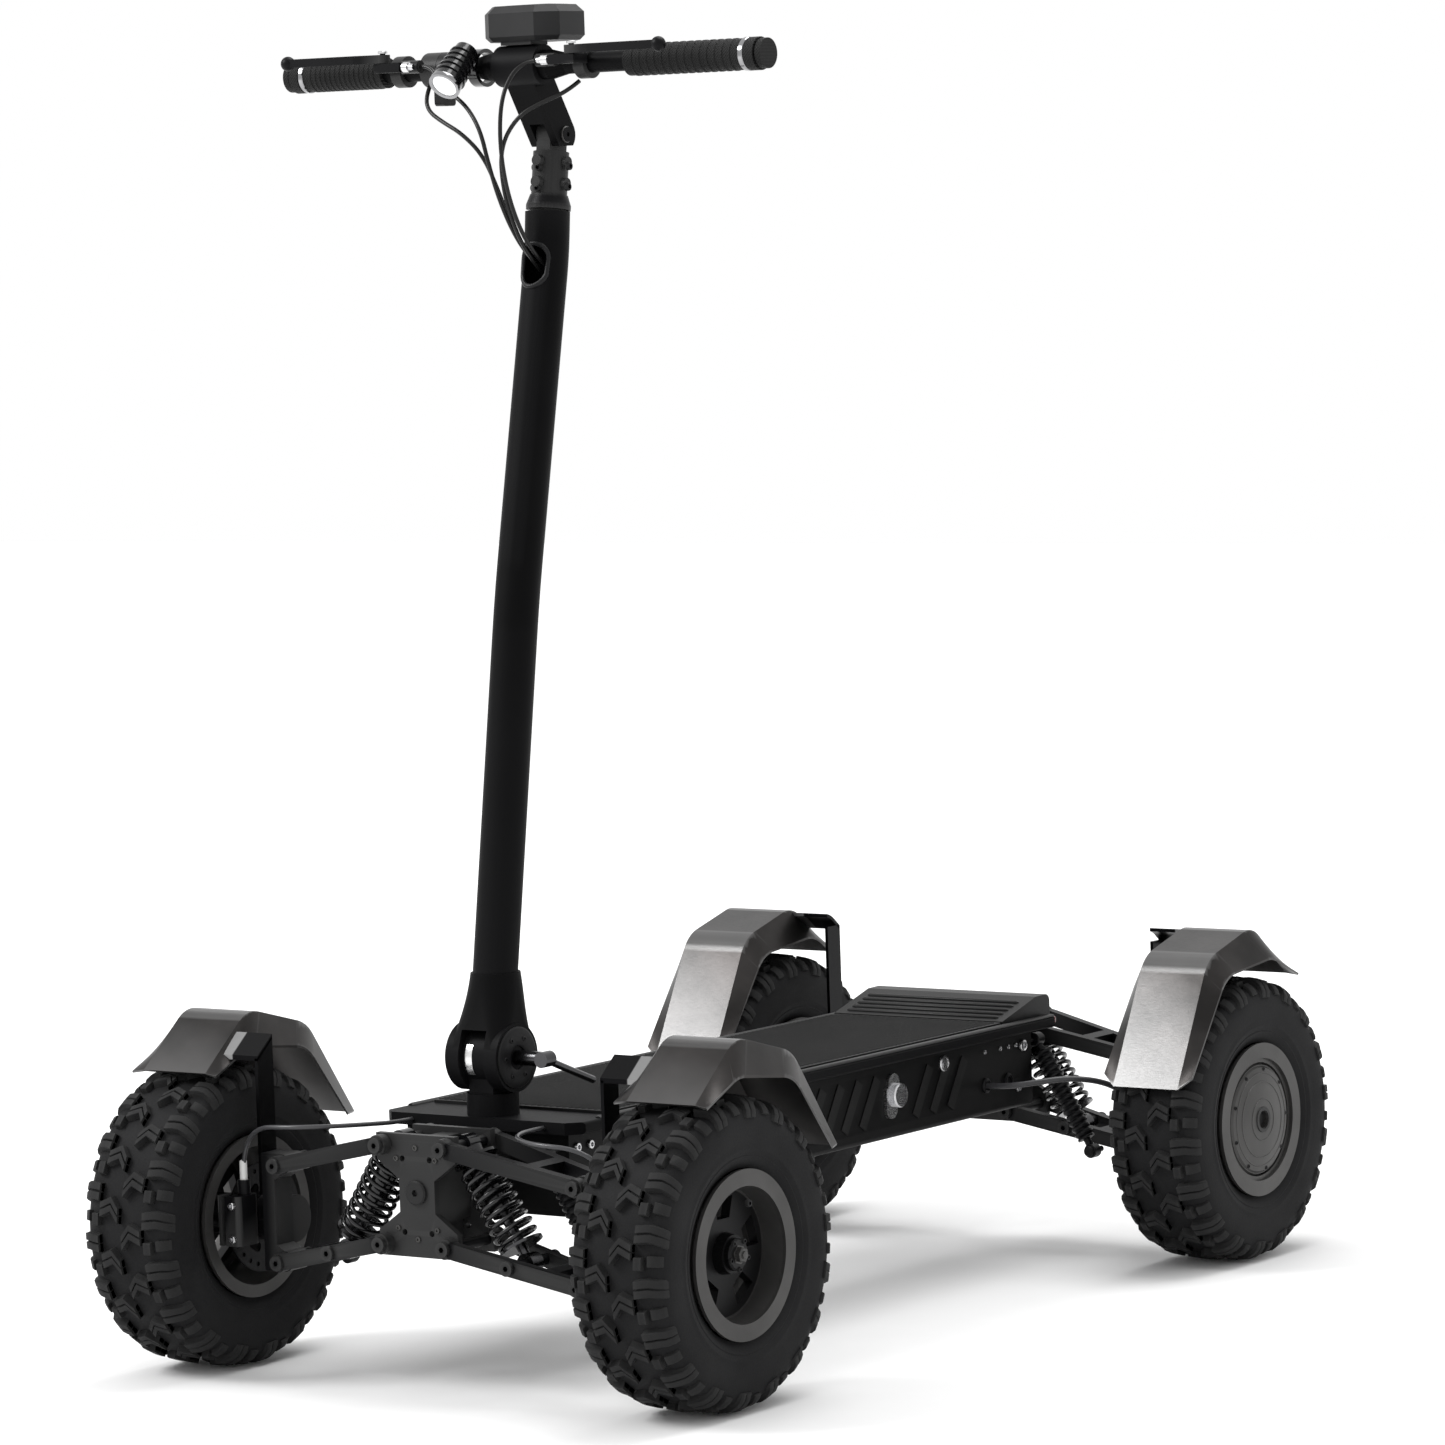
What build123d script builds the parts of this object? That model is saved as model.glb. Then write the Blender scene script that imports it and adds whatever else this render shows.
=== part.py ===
"""Four-wheeled stand-on electric board: a deck on four sprung wheels, with a folding stem and handlebar.

Frame: millimetres, +Z up, front towards -Y, the rider's left towards +X.
The origin is on the ground, midway between the two axles.
"""
import os
from math import atan2, cos, hypot, radians, sin, tan

from build123d import *

os.makedirs("parts", exist_ok=True)

# ---------------------------------------------------------------- driving dimensions
wheelbase = 1034.0
track = 647.0
fit = 0.05                    # radial clearance of a pin in its bore
gap = 0.5                     # side clearance between parts that turn on each other

# wheels
tyre_diameter = 330.0
tyre_width = 118.0
tyre_wall = 9.0
bead_radius = 80.0
flange_radius = 88.7
rim_lip_radius = 71.0
rim_half_width = 56.0
lip_thickness = 4.0
spoke_plane = 23.0            # how far the spoke disc's middle sits outboard of the wheel's middle
spoke_thickness = 11.0
spoke_count = 5
hub_radius = 22.0
hub_cap_radius = 17.0
hub_outer = 40.0
axle_radius = 10.0
motor_radius = 66.0
rotor_radius = 60.0
rotor_thickness = 2.4
rotor_offset = -64.0          # rotor's middle from the wheel's middle, negative is inboard

# suspension, in a corner's own x, y from the axle line and z
arm_inner_x = 42.5
upper_inner_z = 264.0
lower_inner_z = 159.0
arm_reach = 157.0             # from inner to outer pivot along x
arm_drop = 34.0               # from inner to outer pivot along z
arm_depth = 17.0
arm_boss_radius = 11.0
pivot_radius = 6.0
bolt_head_radius = 8.0
bolt_head_height = 5.0
module_middle = -24.0         # middle of a suspension module from its axle, away from the deck
module_half_gap = 27.0        # from that middle to a bulkhead plate's inner face
plate_thickness = 8.0
leg_width = 11.5
knuckle_width = 29.0
shock_foot_along = 77.0       # shock's lower bolt from the lower arm's inner pivot, along x
shock_foot_drop = 16.0        # and along z
spring_radius = 21.5
spring_wire = 5.2
spring_coils = 9.0
damper_radius = 13.0
damper_rod_radius = 6.0
damper_play = 0.6             # radial room of the rod in the damper

# fenders
fender_thickness = 2.5
fender_half_width = 42.7
fender_flare = 16.0           # how far each bent flange stands out sideways
rear_fender_shift = 24.0

# deck and battery case
deck_front = -469.0
deck_rear = 483.0
deck_half_width = 132.0
deck_top = 280.0
deck_thickness = 13.0
mat_thickness = 3.0
mat_half_width = 118.0
mat_front = -395.0
pad_front = 376.0
pad_height = 25.0
case_half_width = 108.0
case_front = -452.0
case_rear = 452.0
case_floor = 177.0
case_wall = 4.0
rib_height = 1.5

# folding stem
fold_y = -440.0
fold_z = 342.0
stub_radius = 28.0
barrel_radius = 37.0
barrel_half_width = 34.0
inner_barrel_radius = 30.0
inner_barrel_half_width = 16.0
fold_pin_radius = 8.0
stem_radius = 24.2
stem_wall = 3.0
collar_radius = 26.7
stem_foot = (-427.5, 431.0)   # y, z where the tube enters the fold housing
stem_bend_low = (-366.0, 826.0)
stem_bend_high = (-291.0, 1192.0)
stem_top = (-287.0, 1236.0)
port_z = 1180.0
post_radius = 19.4
head_y = -274.0
head_z = 1318.0

# handlebar
bar_y = -320.0
bar_z = 1392.0
bar_half_length = 312.0
bar_clamp_radius = 15.9
bar_end_radius = 11.1
bar_clamp_half = 32.0
grip_radius = 16.5
grip_inner = {1: 142.0, -1: 184.0}    # where each grip starts, left then right
grip_outer = 298.0
display_half_width = 50.0
display_height = 38.0
display_floor = 1418.0
left_perch_x = 84.0
right_perch_x = -162.0
lever_length = 122.0
lever_lead = 32.0             # the lever's pivot ahead of the bar
light_x = -56.0

# ---------------------------------------------------------------- worked-out places
axle_z = tyre_diameter / 2
wheel_x = track / 2
axle_y = -wheelbase / 2
arm_length = hypot(arm_reach, arm_drop)
arm_outer_x = arm_inner_x + arm_reach
upper_outer_z = upper_inner_z - arm_drop
lower_outer_z = lower_inner_z - arm_drop
middle_y = axle_y + module_middle
plate_out = module_half_gap + plate_thickness
shock_foot_x = arm_inner_x + shock_foot_along
shock_foot_z = lower_inner_z - shock_foot_drop
shock_length = hypot(shock_foot_along, upper_inner_z - shock_foot_z)
deck_floor = deck_top - deck_thickness

corners = {
    "front_left": (),
    "front_right": (Plane.YZ,),
    "rear_left": (Plane.XZ,),
    "rear_right": (Plane.YZ, Plane.XZ),
}


def save(label, *pieces):
    """Write separate solids as one named node."""
    solids = [solid for piece in pieces for solid in piece.solids()]
    node = Compound(solids)
    node.label = label
    export_step(node, f"parts/{label}.step")


def save_corners(name, *pieces, at=tuple(corners)):
    """Write front-left pieces at each wheel, mirrored across the row frame's planes."""
    for corner in at:
        placed = [piece for piece in pieces]
        for plane in corners[corner]:
            placed = [mirror(piece, about=plane) for piece in placed]
        save(f"{name}_{corner}", *placed)


def cord(points, diameter):
    """A tube of straight runs joined by tangent arcs, each as large as its runs allow."""
    corners_at = [Vector(*point) for point in points]
    radii = []
    for before, here, after in zip(corners_at, corners_at[1:], corners_at[2:]):
        run_in, run_out = here - before, after - here
        half_turn = radians(run_in.get_angle(run_out)) / 2
        radii.append(0.45 * min(run_in.length, run_out.length) / tan(half_turn))
    print("cord radii", [round(radius) for radius in radii])
    with BuildPart() as tube:
        with BuildLine() as route:
            FilletPolyline(*points, radius=radii)
        start = Plane(origin=route.line @ 0, z_dir=route.line % 0)
        with BuildSketch(start):
            Circle(diameter / 2)
        sweep()
    return tube.part


# ---------------------------------------------------------------- wheels
wheel_section = Plane(origin=(wheel_x, axle_y, axle_z), x_dir=(1, 0, 0), z_dir=(0, -1, 0))
wheel_axis = Axis((wheel_x, axle_y, axle_z), (1, 0, 0))
wheel_face = Plane(origin=(wheel_x, axle_y, axle_z), x_dir=(0, 1, 0), z_dir=(1, 0, 0))
tread_radius = tyre_diameter / 2
half_tyre = tyre_width / 2
bead_inner = rim_half_width - lip_thickness

with BuildPart() as tyre:
    with BuildSketch(wheel_section):
        with BuildLine():
            Polyline((-bead_inner, bead_radius), (-bead_inner, flange_radius))
            Spline(
                (-bead_inner, flange_radius), (-half_tyre, flange_radius + 30),
                (-half_tyre + 6, tread_radius - 10),
                tangents=((-0.5, 1), (0.5, 1)),
            )
            ThreePointArc((-half_tyre + 6, tread_radius - 10), (0, tread_radius), (half_tyre - 6, tread_radius - 10))
            Spline(
                (half_tyre - 6, tread_radius - 10), (half_tyre, flange_radius + 30),
                (bead_inner, flange_radius),
                tangents=((0.5, -1), (-0.5, -1)),
            )
            Polyline((bead_inner, flange_radius), (bead_inner, bead_radius), (bead_inner - tyre_wall, bead_radius))
            Polyline(
                (bead_inner - tyre_wall, bead_radius), (bead_inner - tyre_wall, flange_radius + 4),
                (half_tyre - tyre_wall, flange_radius + 30), (half_tyre - tyre_wall - 6, tread_radius - 22),
            )
            ThreePointArc(
                (half_tyre - tyre_wall - 6, tread_radius - 22), (0, tread_radius - 14),
                (-half_tyre + tyre_wall + 6, tread_radius - 22),
            )
            Polyline(
                (-half_tyre + tyre_wall + 6, tread_radius - 22),
                (-half_tyre + tyre_wall, flange_radius + 30),
                (-bead_inner + tyre_wall, flange_radius + 4), (-bead_inner + tyre_wall, bead_radius),
                (-bead_inner, bead_radius),
            )
        make_face()
    revolve(axis=wheel_axis)
save_corners("tyre", tyre.part)

barrel_inner = bead_radius - 5.0
with BuildPart() as front_rim:
    with BuildSketch(wheel_section):
        with BuildLine():
            Polyline(
                (-rim_half_width, barrel_inner), (-rim_half_width, flange_radius),
                (-bead_inner, flange_radius),
                (-bead_inner, bead_radius), (bead_inner, bead_radius), (bead_inner, flange_radius),
                (rim_half_width, flange_radius), (rim_half_width, rim_lip_radius),
                (bead_inner, rim_lip_radius),
                (spoke_plane + spoke_thickness / 2, rim_lip_radius - 3),
                (spoke_plane + spoke_thickness / 2, hub_radius), (hub_outer, hub_radius - 2),
                (hub_outer, axle_radius + fit), (rotor_offset - rotor_thickness / 2, axle_radius + fit),
                (rotor_offset - rotor_thickness / 2, hub_radius),
                (spoke_plane - spoke_thickness / 2, hub_radius),
                (spoke_plane - spoke_thickness / 2, barrel_inner), close=True,
            )
        make_face()
    revolve(axis=wheel_axis)
    with BuildSketch(wheel_face.offset(spoke_plane - spoke_thickness)):
        with PolarLocations(47, spoke_count, start_angle=18):
            Trapezoid(34, 22, 74, rotation=90)
    extrude(amount=2 * spoke_thickness, mode=Mode.SUBTRACT)

with BuildPart() as front_cap:
    with BuildSketch(wheel_face.offset(hub_outer)):
        Circle(hub_cap_radius)
    extrude(amount=7)
    chamfer(front_cap.faces().sort_by(Axis.X)[-1].edges(), 2)

with BuildPart() as brake_rotor:
    with BuildSketch(wheel_face.offset(rotor_offset - rotor_thickness / 2)):
        Circle(rotor_radius)
        Circle(hub_radius, mode=Mode.SUBTRACT)
        with PolarLocations(34, 6):
            SlotOverall(20, 11, rotation=90, mode=Mode.SUBTRACT)
        with PolarLocations(52, 24):
            Circle(2.6, mode=Mode.SUBTRACT)
    extrude(amount=rotor_thickness)
save_corners("wheel_rim", front_rim.part, front_cap.part, brake_rotor.part, at=("front_left", "front_right"))

with BuildPart() as rear_rim:
    with BuildSketch(wheel_section):
        with BuildLine():
            Polyline(
                (-rim_half_width, rim_lip_radius), (-rim_half_width, flange_radius),
                (-bead_inner, flange_radius),
                (-bead_inner, bead_radius), (bead_inner, bead_radius), (bead_inner, flange_radius),
                (rim_half_width, flange_radius), (rim_half_width, rim_lip_radius),
                (bead_inner, rim_lip_radius), (bead_inner, motor_radius),
                (-bead_inner, motor_radius), (-bead_inner, rim_lip_radius), close=True,
            )
        make_face()
    revolve(axis=wheel_axis)

with BuildPart() as hub_motor:
    with BuildSketch(wheel_section):
        with BuildLine():
            Polyline(
                (-rim_half_width + 6, axle_radius + fit), (-rim_half_width + 6, motor_radius - 8),
                (-bead_inner + 8, motor_radius), (bead_inner - 4, motor_radius),
                (rim_half_width - 2, motor_radius - 6),
            )
            ThreePointArc((rim_half_width - 2, motor_radius - 6), (half_tyre - 2, 38), (half_tyre - 1, hub_radius - 4))
            Polyline(
                (half_tyre - 1, hub_radius - 4), (half_tyre - 1, axle_radius + fit),
                (-rim_half_width + 6, axle_radius + fit),
            )
        make_face()
    revolve(axis=wheel_axis)
save_corners("wheel_rim", rear_rim.part, hub_motor.part, at=("rear_left", "rear_right"))

# ---------------------------------------------------------------- knuckle, axle and brake
middle_plane = Plane(origin=(0, middle_y, 0), x_dir=(1, 0, 0), z_dir=(0, -1, 0))
upright_in = arm_outer_x + arm_boss_radius
upright_out = upright_in + 17.0
with BuildPart() as knuckle:
    with BuildSketch(middle_plane):
        with BuildLine():
            Polyline(
                (arm_outer_x, lower_outer_z - arm_boss_radius),
                (upright_out, lower_outer_z - arm_boss_radius),
                (upright_out, upper_outer_z + arm_boss_radius),
                (arm_outer_x, upper_outer_z + arm_boss_radius),
                (arm_outer_x, upper_outer_z - arm_boss_radius),
                (upright_in, upper_outer_z - arm_boss_radius - 6),
                (upright_in, lower_outer_z + arm_boss_radius + 6),
                (arm_outer_x, lower_outer_z + arm_boss_radius),
                close=True,
            )
        make_face()
        with Locations((arm_outer_x, lower_outer_z), (arm_outer_x, upper_outer_z)):
            Circle(arm_boss_radius)
            Circle(pivot_radius + fit, mode=Mode.SUBTRACT)
    extrude(amount=knuckle_width / 2, both=True)
    with BuildSketch(wheel_face.offset(upright_in + 4 - wheel_x)):
        Circle(26)
    extrude(amount=wheel_x + rotor_offset - 6 - upright_in - 4)

with BuildPart() as front_axle:
    with BuildSketch(wheel_face.offset(upright_in + 10 - wheel_x)):
        Circle(axle_radius)
    extrude(amount=wheel_x + hub_outer - 3 - upright_in - 10)

with BuildPart() as rear_axle:
    with BuildSketch(wheel_face.offset(upright_in + 10 - wheel_x)):
        Circle(axle_radius)
    extrude(amount=wheel_x + half_tyre - 6 - upright_in - 10)

caliper_in = wheel_x + rotor_offset - 22
with BuildPart() as caliper:
    with Locations((caliper_in + 16, axle_y - 50, axle_z + 4)):
        Box(32, 34, 54)
    fillet(caliper.edges().filter_by(Axis.Z), 6)
    with Locations((wheel_x + rotor_offset, axle_y - 50, axle_z + 4)):
        Box(rotor_thickness + 2.4, 60, 80, mode=Mode.SUBTRACT)
    with BuildSketch(Plane(origin=(caliper_in + 9, axle_y - 46, axle_z + 31))):
        Circle(7)
    extrude(amount=16)
with BuildPart() as knuckle_bore:
    with BuildSketch(wheel_face.offset(upright_in + 10 - wheel_x)):
        Circle(axle_radius)
    extrude(amount=200)
knuckle_body = knuckle.part - knuckle_bore.part
save_corners("knuckle", knuckle_body, front_axle.part, caliper.part, at=("front_left", "front_right"))
save_corners("knuckle", knuckle_body, rear_axle.part, at=("rear_left", "rear_right"))

# ---------------------------------------------------------------- fenders
# Side outlines as (y, z) from the axle: where the flat top folds down, and the lower edge of the folded flange.
fender_outlines = {
    "front": {
        "shift": 0.0,
        "fold": ((-63.0, 162.0), (12.0, 223.0), (112.0, 196.0), (189.0, 88.0)),
        "edge": ((-64.5, 160.0), (-6.0, 186.0), (92.0, 174.0), (158.0, 90.0)),
    },
    "rear": {
        "shift": -rear_fender_shift,
        "fold": ((-63.0, 162.0), (12.0, 223.0), (112.0, 196.0), (187.0, 55.0)),
        "edge": ((-64.5, 160.0), (-6.0, 186.0), (98.0, 176.0), (180.0, 68.0)),
    },
}
fold_radii = (38.0, 46.0)
strap_width = 26.0
strap_inner_x = upright_out + 1.0
strap_outer_x = wheel_x - 22.0

for end, outline in fender_outlines.items():
    fold = [(y + outline["shift"], z) for y, z in outline["fold"]]
    edge = [(y + outline["shift"], z) for y, z in outline["edge"]]
    fold_planes = [wheel_face.offset(sign * fender_half_width) for sign in (-1, 1)]
    edge_planes = [wheel_face.offset(sign * (fender_half_width + fender_flare)) for sign in (-1, 1)]
    with BuildPart() as fender:
        with BuildSketch(fold_planes[0]):
            with BuildLine():
                FilletPolyline(*fold, radius=fold_radii)
                offset(amount=fender_thickness, side=Side.RIGHT)
            make_face()
        extrude(amount=2 * fender_half_width)
        for fold_plane, edge_plane in zip(fold_planes, edge_planes):
            with BuildSketch(fold_plane):
                with BuildLine():
                    FilletPolyline(*fold, radius=fold_radii)
                    offset(amount=fender_thickness, side=Side.RIGHT)
                make_face()
            with BuildSketch(edge_plane):
                with BuildLine():
                    FilletPolyline(*edge, radius=fold_radii)
                    offset(amount=fender_thickness, side=Side.RIGHT)
                make_face()
            loft()

    with BuildPart() as fender_strap:
        with BuildSketch(wheel_face.offset(strap_inner_x - wheel_x)):
            with BuildLine():
                FilletPolyline(*fold, radius=fold_radii)
                offset(amount=fender_thickness + 4, side=Side.RIGHT)
            make_face()
            with BuildLine():
                FilletPolyline(*fold, radius=fold_radii)
                offset(amount=fender_thickness + 0.02, side=Side.RIGHT)
            make_face(mode=Mode.SUBTRACT)
        extrude(amount=strap_outer_x - strap_inner_x)
        with Locations((wheel_x, middle_y, axle_z + 200)):
            Box(track, strap_width, 400, mode=Mode.INTERSECT)

    with BuildPart() as fender_post:
        with BuildSketch(wheel_face.offset(strap_inner_x - wheel_x)):
            with Locations((module_middle, 0)):
                Rectangle(strap_width, 400)
        extrude(amount=4)
        with BuildSketch(wheel_face.offset(strap_inner_x - 1 - wheel_x)):
            with BuildLine():
                FilletPolyline(*fold, radius=fold_radii)
                offset(amount=fender_thickness + 2, side=Side.RIGHT)
            make_face()
            with BuildLine():
                FilletPolyline(*fold, radius=fold_radii)
                Polyline(fold[-1], (fold[-1][0], 400), (fold[0][0], 400), fold[0])
            make_face()
        extrude(amount=6, mode=Mode.SUBTRACT)
        with BuildSketch(wheel_face.offset(strap_inner_x - 1 - wheel_x)):
            with Locations((0, -170)):
                Rectangle(500, 400)
            with Locations((0, 0)):
                Circle(30)
        extrude(amount=6, mode=Mode.SUBTRACT)
    save_corners("fender", fender.part, fender_strap.part, fender_post.part, at=(f"{end}_left", f"{end}_right"))

# ---------------------------------------------------------------- suspension arms
along_arm = (arm_reach / arm_length, 0, -arm_drop / arm_length)
leg_in = module_half_gap + plate_thickness + gap
leg_out = knuckle_width / 2 + gap
leg_straight = 14.0           # length of leg beside the bulkhead plate before it turns in
bolt_reach = leg_in + leg_width
outer_bolt_reach = leg_out + leg_width
arm_names = {"upper_arm": (upper_inner_z, 0.60), "lower_arm": (lower_inner_z, 0.72)}

for name, (inner_z, brace_at) in arm_names.items():
    arm_plane = Plane(origin=(arm_inner_x, middle_y, inner_z), x_dir=along_arm, z_dir=(arm_drop, 0, arm_reach))
    outer_z = inner_z - arm_drop
    with BuildPart() as arm:
        with BuildSketch(arm_plane):
            for side in (-1, 1):
                with BuildLine():
                    Polyline(
                        (0, side * leg_in), (0, side * bolt_reach), (leg_straight, side * bolt_reach),
                        (arm_length, side * outer_bolt_reach), (arm_length, side * leg_out),
                        (leg_straight, side * leg_in), close=True,
                    )
                make_face()
            brace_half = leg_in + (leg_out - leg_in) * brace_at
            with BuildLine():
                Polyline(
                    (arm_length * brace_at, -brace_half - 2), (arm_length * brace_at, brace_half + 2),
                    (arm_length * brace_at + 14, brace_half),
                    (arm_length * brace_at + 14, -brace_half), close=True,
                )
            make_face()
        extrude(amount=arm_depth / 2, both=True)
        for side in (-1, 1):
            with BuildSketch(middle_plane.offset(side * leg_in)):
                with Locations((arm_inner_x, inner_z)):
                    Circle(arm_boss_radius)
            extrude(amount=side * leg_width)
            with BuildSketch(middle_plane.offset(side * leg_out)):
                with Locations((arm_outer_x, outer_z)):
                    Circle(arm_boss_radius - 1)
            extrude(amount=side * leg_width)
        with BuildSketch(middle_plane.offset(-80)):
            with Locations((arm_inner_x, inner_z), (arm_outer_x, outer_z)):
                Circle(pivot_radius)
            if name == "lower_arm":
                with Locations((shock_foot_x, shock_foot_z)):
                    Circle(pivot_radius)
        extrude(amount=160, mode=Mode.SUBTRACT)

    bolts = [(arm_inner_x, inner_z, bolt_reach), (arm_outer_x, outer_z, outer_bolt_reach)]
    if name == "lower_arm":
        foot_reach = leg_in + (leg_out - leg_in) * shock_foot_along / arm_reach + leg_width + 1.5
        bolts.append((shock_foot_x, shock_foot_z, foot_reach))
    with BuildPart() as arm_bolts:
        for x, z, reach in bolts:
            with BuildSketch(middle_plane.offset(-reach)):
                with Locations((x, z)):
                    Circle(pivot_radius)
            extrude(amount=2 * reach)
            for side in (-1, 1):
                with BuildSketch(middle_plane.offset(side * reach)):
                    with Locations((x, z)):
                        Circle(bolt_head_radius)
                        RegularPolygon(3.2, 6, mode=Mode.SUBTRACT)
                extrude(amount=side * bolt_head_height)
    save_corners(name, arm.part, arm_bolts.part)

# ---------------------------------------------------------------- coil-over shock
shock_tilt = atan2(shock_foot_along, upper_inner_z - shock_foot_z)
down_shock = (sin(shock_tilt), 0, -cos(shock_tilt))
shock_top = Plane(origin=(arm_inner_x, middle_y, upper_inner_z), x_dir=(0, 1, 0), z_dir=down_shock)
eye_half = 9.0
eye_radius = 11.0
seat_top = 20.0
seat_bottom = shock_length - 22.0
spring_space = seat_bottom - seat_top - 6.0

with BuildPart() as damper:
    with BuildSketch(shock_top.offset(6)):
        Circle(damper_radius)
    extrude(amount=shock_length * 0.55)
    with BuildSketch(shock_top.offset(seat_top - 3)):
        Circle(spring_radius + spring_wire / 2 + 0.5)
    extrude(amount=3)
    with BuildSketch(middle_plane):
        with Locations((arm_inner_x, upper_inner_z)):
            Circle(eye_radius)
    extrude(amount=eye_half, both=True)
    with BuildSketch(middle_plane):
        with Locations((arm_inner_x, upper_inner_z)):
            Circle(pivot_radius + fit)
    extrude(amount=eye_half + 1, both=True, mode=Mode.SUBTRACT)
    with BuildSketch(shock_top.offset(seat_top)):
        Circle(damper_rod_radius + damper_play)
    extrude(amount=shock_length, mode=Mode.SUBTRACT)
save_corners("shock_body", damper.part)

with BuildPart() as shock_rod:
    with BuildSketch(shock_top.offset(seat_top + 30)):
        Circle(damper_rod_radius)
    extrude(amount=shock_length - seat_top - 34)
    with BuildSketch(shock_top.offset(seat_bottom)):
        Circle(spring_radius + spring_wire / 2 + 0.5)
    extrude(amount=3)
    with BuildSketch(middle_plane):
        with Locations((shock_foot_x, shock_foot_z)):
            Circle(eye_radius)
    extrude(amount=eye_half, both=True)
    with BuildSketch(middle_plane):
        with Locations((shock_foot_x, shock_foot_z)):
            Circle(pivot_radius + fit)
    extrude(amount=eye_half + 1, both=True, mode=Mode.SUBTRACT)
save_corners("shock_rod", shock_rod.part)

with BuildPart() as spring:
    with BuildLine():
        coil = Helix(
            spring_space / spring_coils, spring_space, spring_radius,
            center=shock_top.offset(seat_top + 3).origin, direction=down_shock,
        )
    with BuildSketch(Plane(origin=coil @ 0, z_dir=coil % 0)):
        Circle(spring_wire / 2)
    sweep(is_frenet=True)
save_corners("shock_spring", spring.part)

# ---------------------------------------------------------------- bulkheads
plate_front_face = Plane(origin=(0, middle_y - plate_out, 0), x_dir=(1, 0, 0), z_dir=(0, -1, 0))
plate_half_width = 52.0
plate_waist = 23.5
plate_top_z = 276.0
plate_bottom_z = 146.0
mount_x = 18.0
mount_z = (250.0, 172.0)
mount_hole_radius = 3.3

with BuildPart() as bulkhead_plate:
    with BuildSketch(plate_front_face.offset(-plate_thickness)):
        with BuildLine():
            half = Polyline(
                (0, plate_bottom_z), (plate_half_width, plate_bottom_z),
                (plate_half_width, lower_inner_z + 14),
                (plate_waist, lower_inner_z + 34), (plate_waist, upper_inner_z - 36),
                (plate_half_width, upper_inner_z - 16), (plate_half_width, plate_top_z), (0, plate_top_z),
            )
            mirror(half, about=Plane.YZ)
        make_face()
        with Locations(*[(sx * arm_inner_x, z) for sx in (-1, 1) for z in (upper_inner_z, lower_inner_z)]):
            Circle(pivot_radius + fit, mode=Mode.SUBTRACT)
        with Locations(*[(sx * mount_x, z) for sx in (-1, 1) for z in mount_z]):
            Circle(mount_hole_radius, mode=Mode.SUBTRACT)
    extrude(amount=plate_thickness)

with BuildPart() as bulkhead_core:
    with Locations((0, middle_y, (plate_bottom_z + plate_top_z) / 2)):
        Box(24, 2 * module_half_gap, plate_top_z - plate_bottom_z - 12)
        Box(44, 2 * module_half_gap, 60)

with BuildPart() as bulkhead_link:
    link_start = middle_y + plate_out
    with Locations((0, (link_start + case_front) / 2, 222)):
        Box(60, case_front - link_start, 84)
    with Locations((0, (link_start + case_front) / 2, 222)):
        Box(42, case_front - link_start, 62, mode=Mode.SUBTRACT)

with BuildPart() as plate_disc:
    with BuildSketch(plate_front_face):
        with Locations((0, (upper_inner_z + lower_inner_z) / 2 + 3)):
            Circle(13)
            RegularPolygon(4, 6, mode=Mode.SUBTRACT)
    extrude(amount=4)
    chamfer(plate_disc.faces().sort_by(Axis.Y)[0].edges().filter_by(GeomType.CIRCLE), 1.5)

front_plates = [bulkhead_plate.part, mirror(bulkhead_plate.part, about=Plane.XZ.offset(-middle_y))]
front_set = [*front_plates, bulkhead_core.part, bulkhead_link.part, plate_disc.part]
rear_set = [mirror(piece, about=Plane.XZ) for piece in front_set]
save("bulkheads", *front_set, *rear_set)

# ---------------------------------------------------------------- deck, battery case and what is inside
deck_length = deck_rear - deck_front
deck_middle = (deck_rear + deck_front) / 2
with BuildPart() as deck_plate:
    with BuildSketch(Plane.XY.offset(deck_floor)):
        with Locations((0, deck_middle)):
            Rectangle(2 * deck_half_width, deck_length)
        chamfer(vertices(), 16)
    extrude(amount=deck_thickness)
    fillet(deck_plate.edges().filter_by(Axis.Y), 4)
save("deck_plate", deck_plate.part)

with BuildPart() as deck_mat:
    with BuildSketch(Plane.XY.offset(deck_top)):
        with Locations((0, (mat_front + pad_front) / 2)):
            RectangleRounded(2 * mat_half_width, pad_front - mat_front, 6)
    extrude(amount=mat_thickness)
save("deck_mat", deck_mat.part)

with BuildPart() as kick_pad:
    with BuildSketch(Plane.YZ.offset(-mat_half_width)):
        with BuildLine():
            Polyline((pad_front + gap, deck_top), (deck_rear - 4, deck_top), (deck_rear - 4, deck_top + pad_height - 8))
            ThreePointArc(
                (deck_rear - 4, deck_top + pad_height - 8), (deck_rear - 6.5, deck_top + pad_height - 2.5),
                (deck_rear - 12, deck_top + pad_height),
            )
            Line((deck_rear - 12, deck_top + pad_height), (deck_rear - 34, deck_top + pad_height - 0.5))
            ThreePointArc(
                (deck_rear - 34, deck_top + pad_height - 0.5),
                ((pad_front + deck_rear - 34) / 2, deck_top + 14),
                (pad_front + gap, deck_top + mat_thickness + 1),
            )
            Line((pad_front + gap, deck_top + mat_thickness + 1), (pad_front + gap, deck_top))
        make_face()
    extrude(amount=2 * mat_half_width)
save("kick_pad", kick_pad.part)

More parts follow.
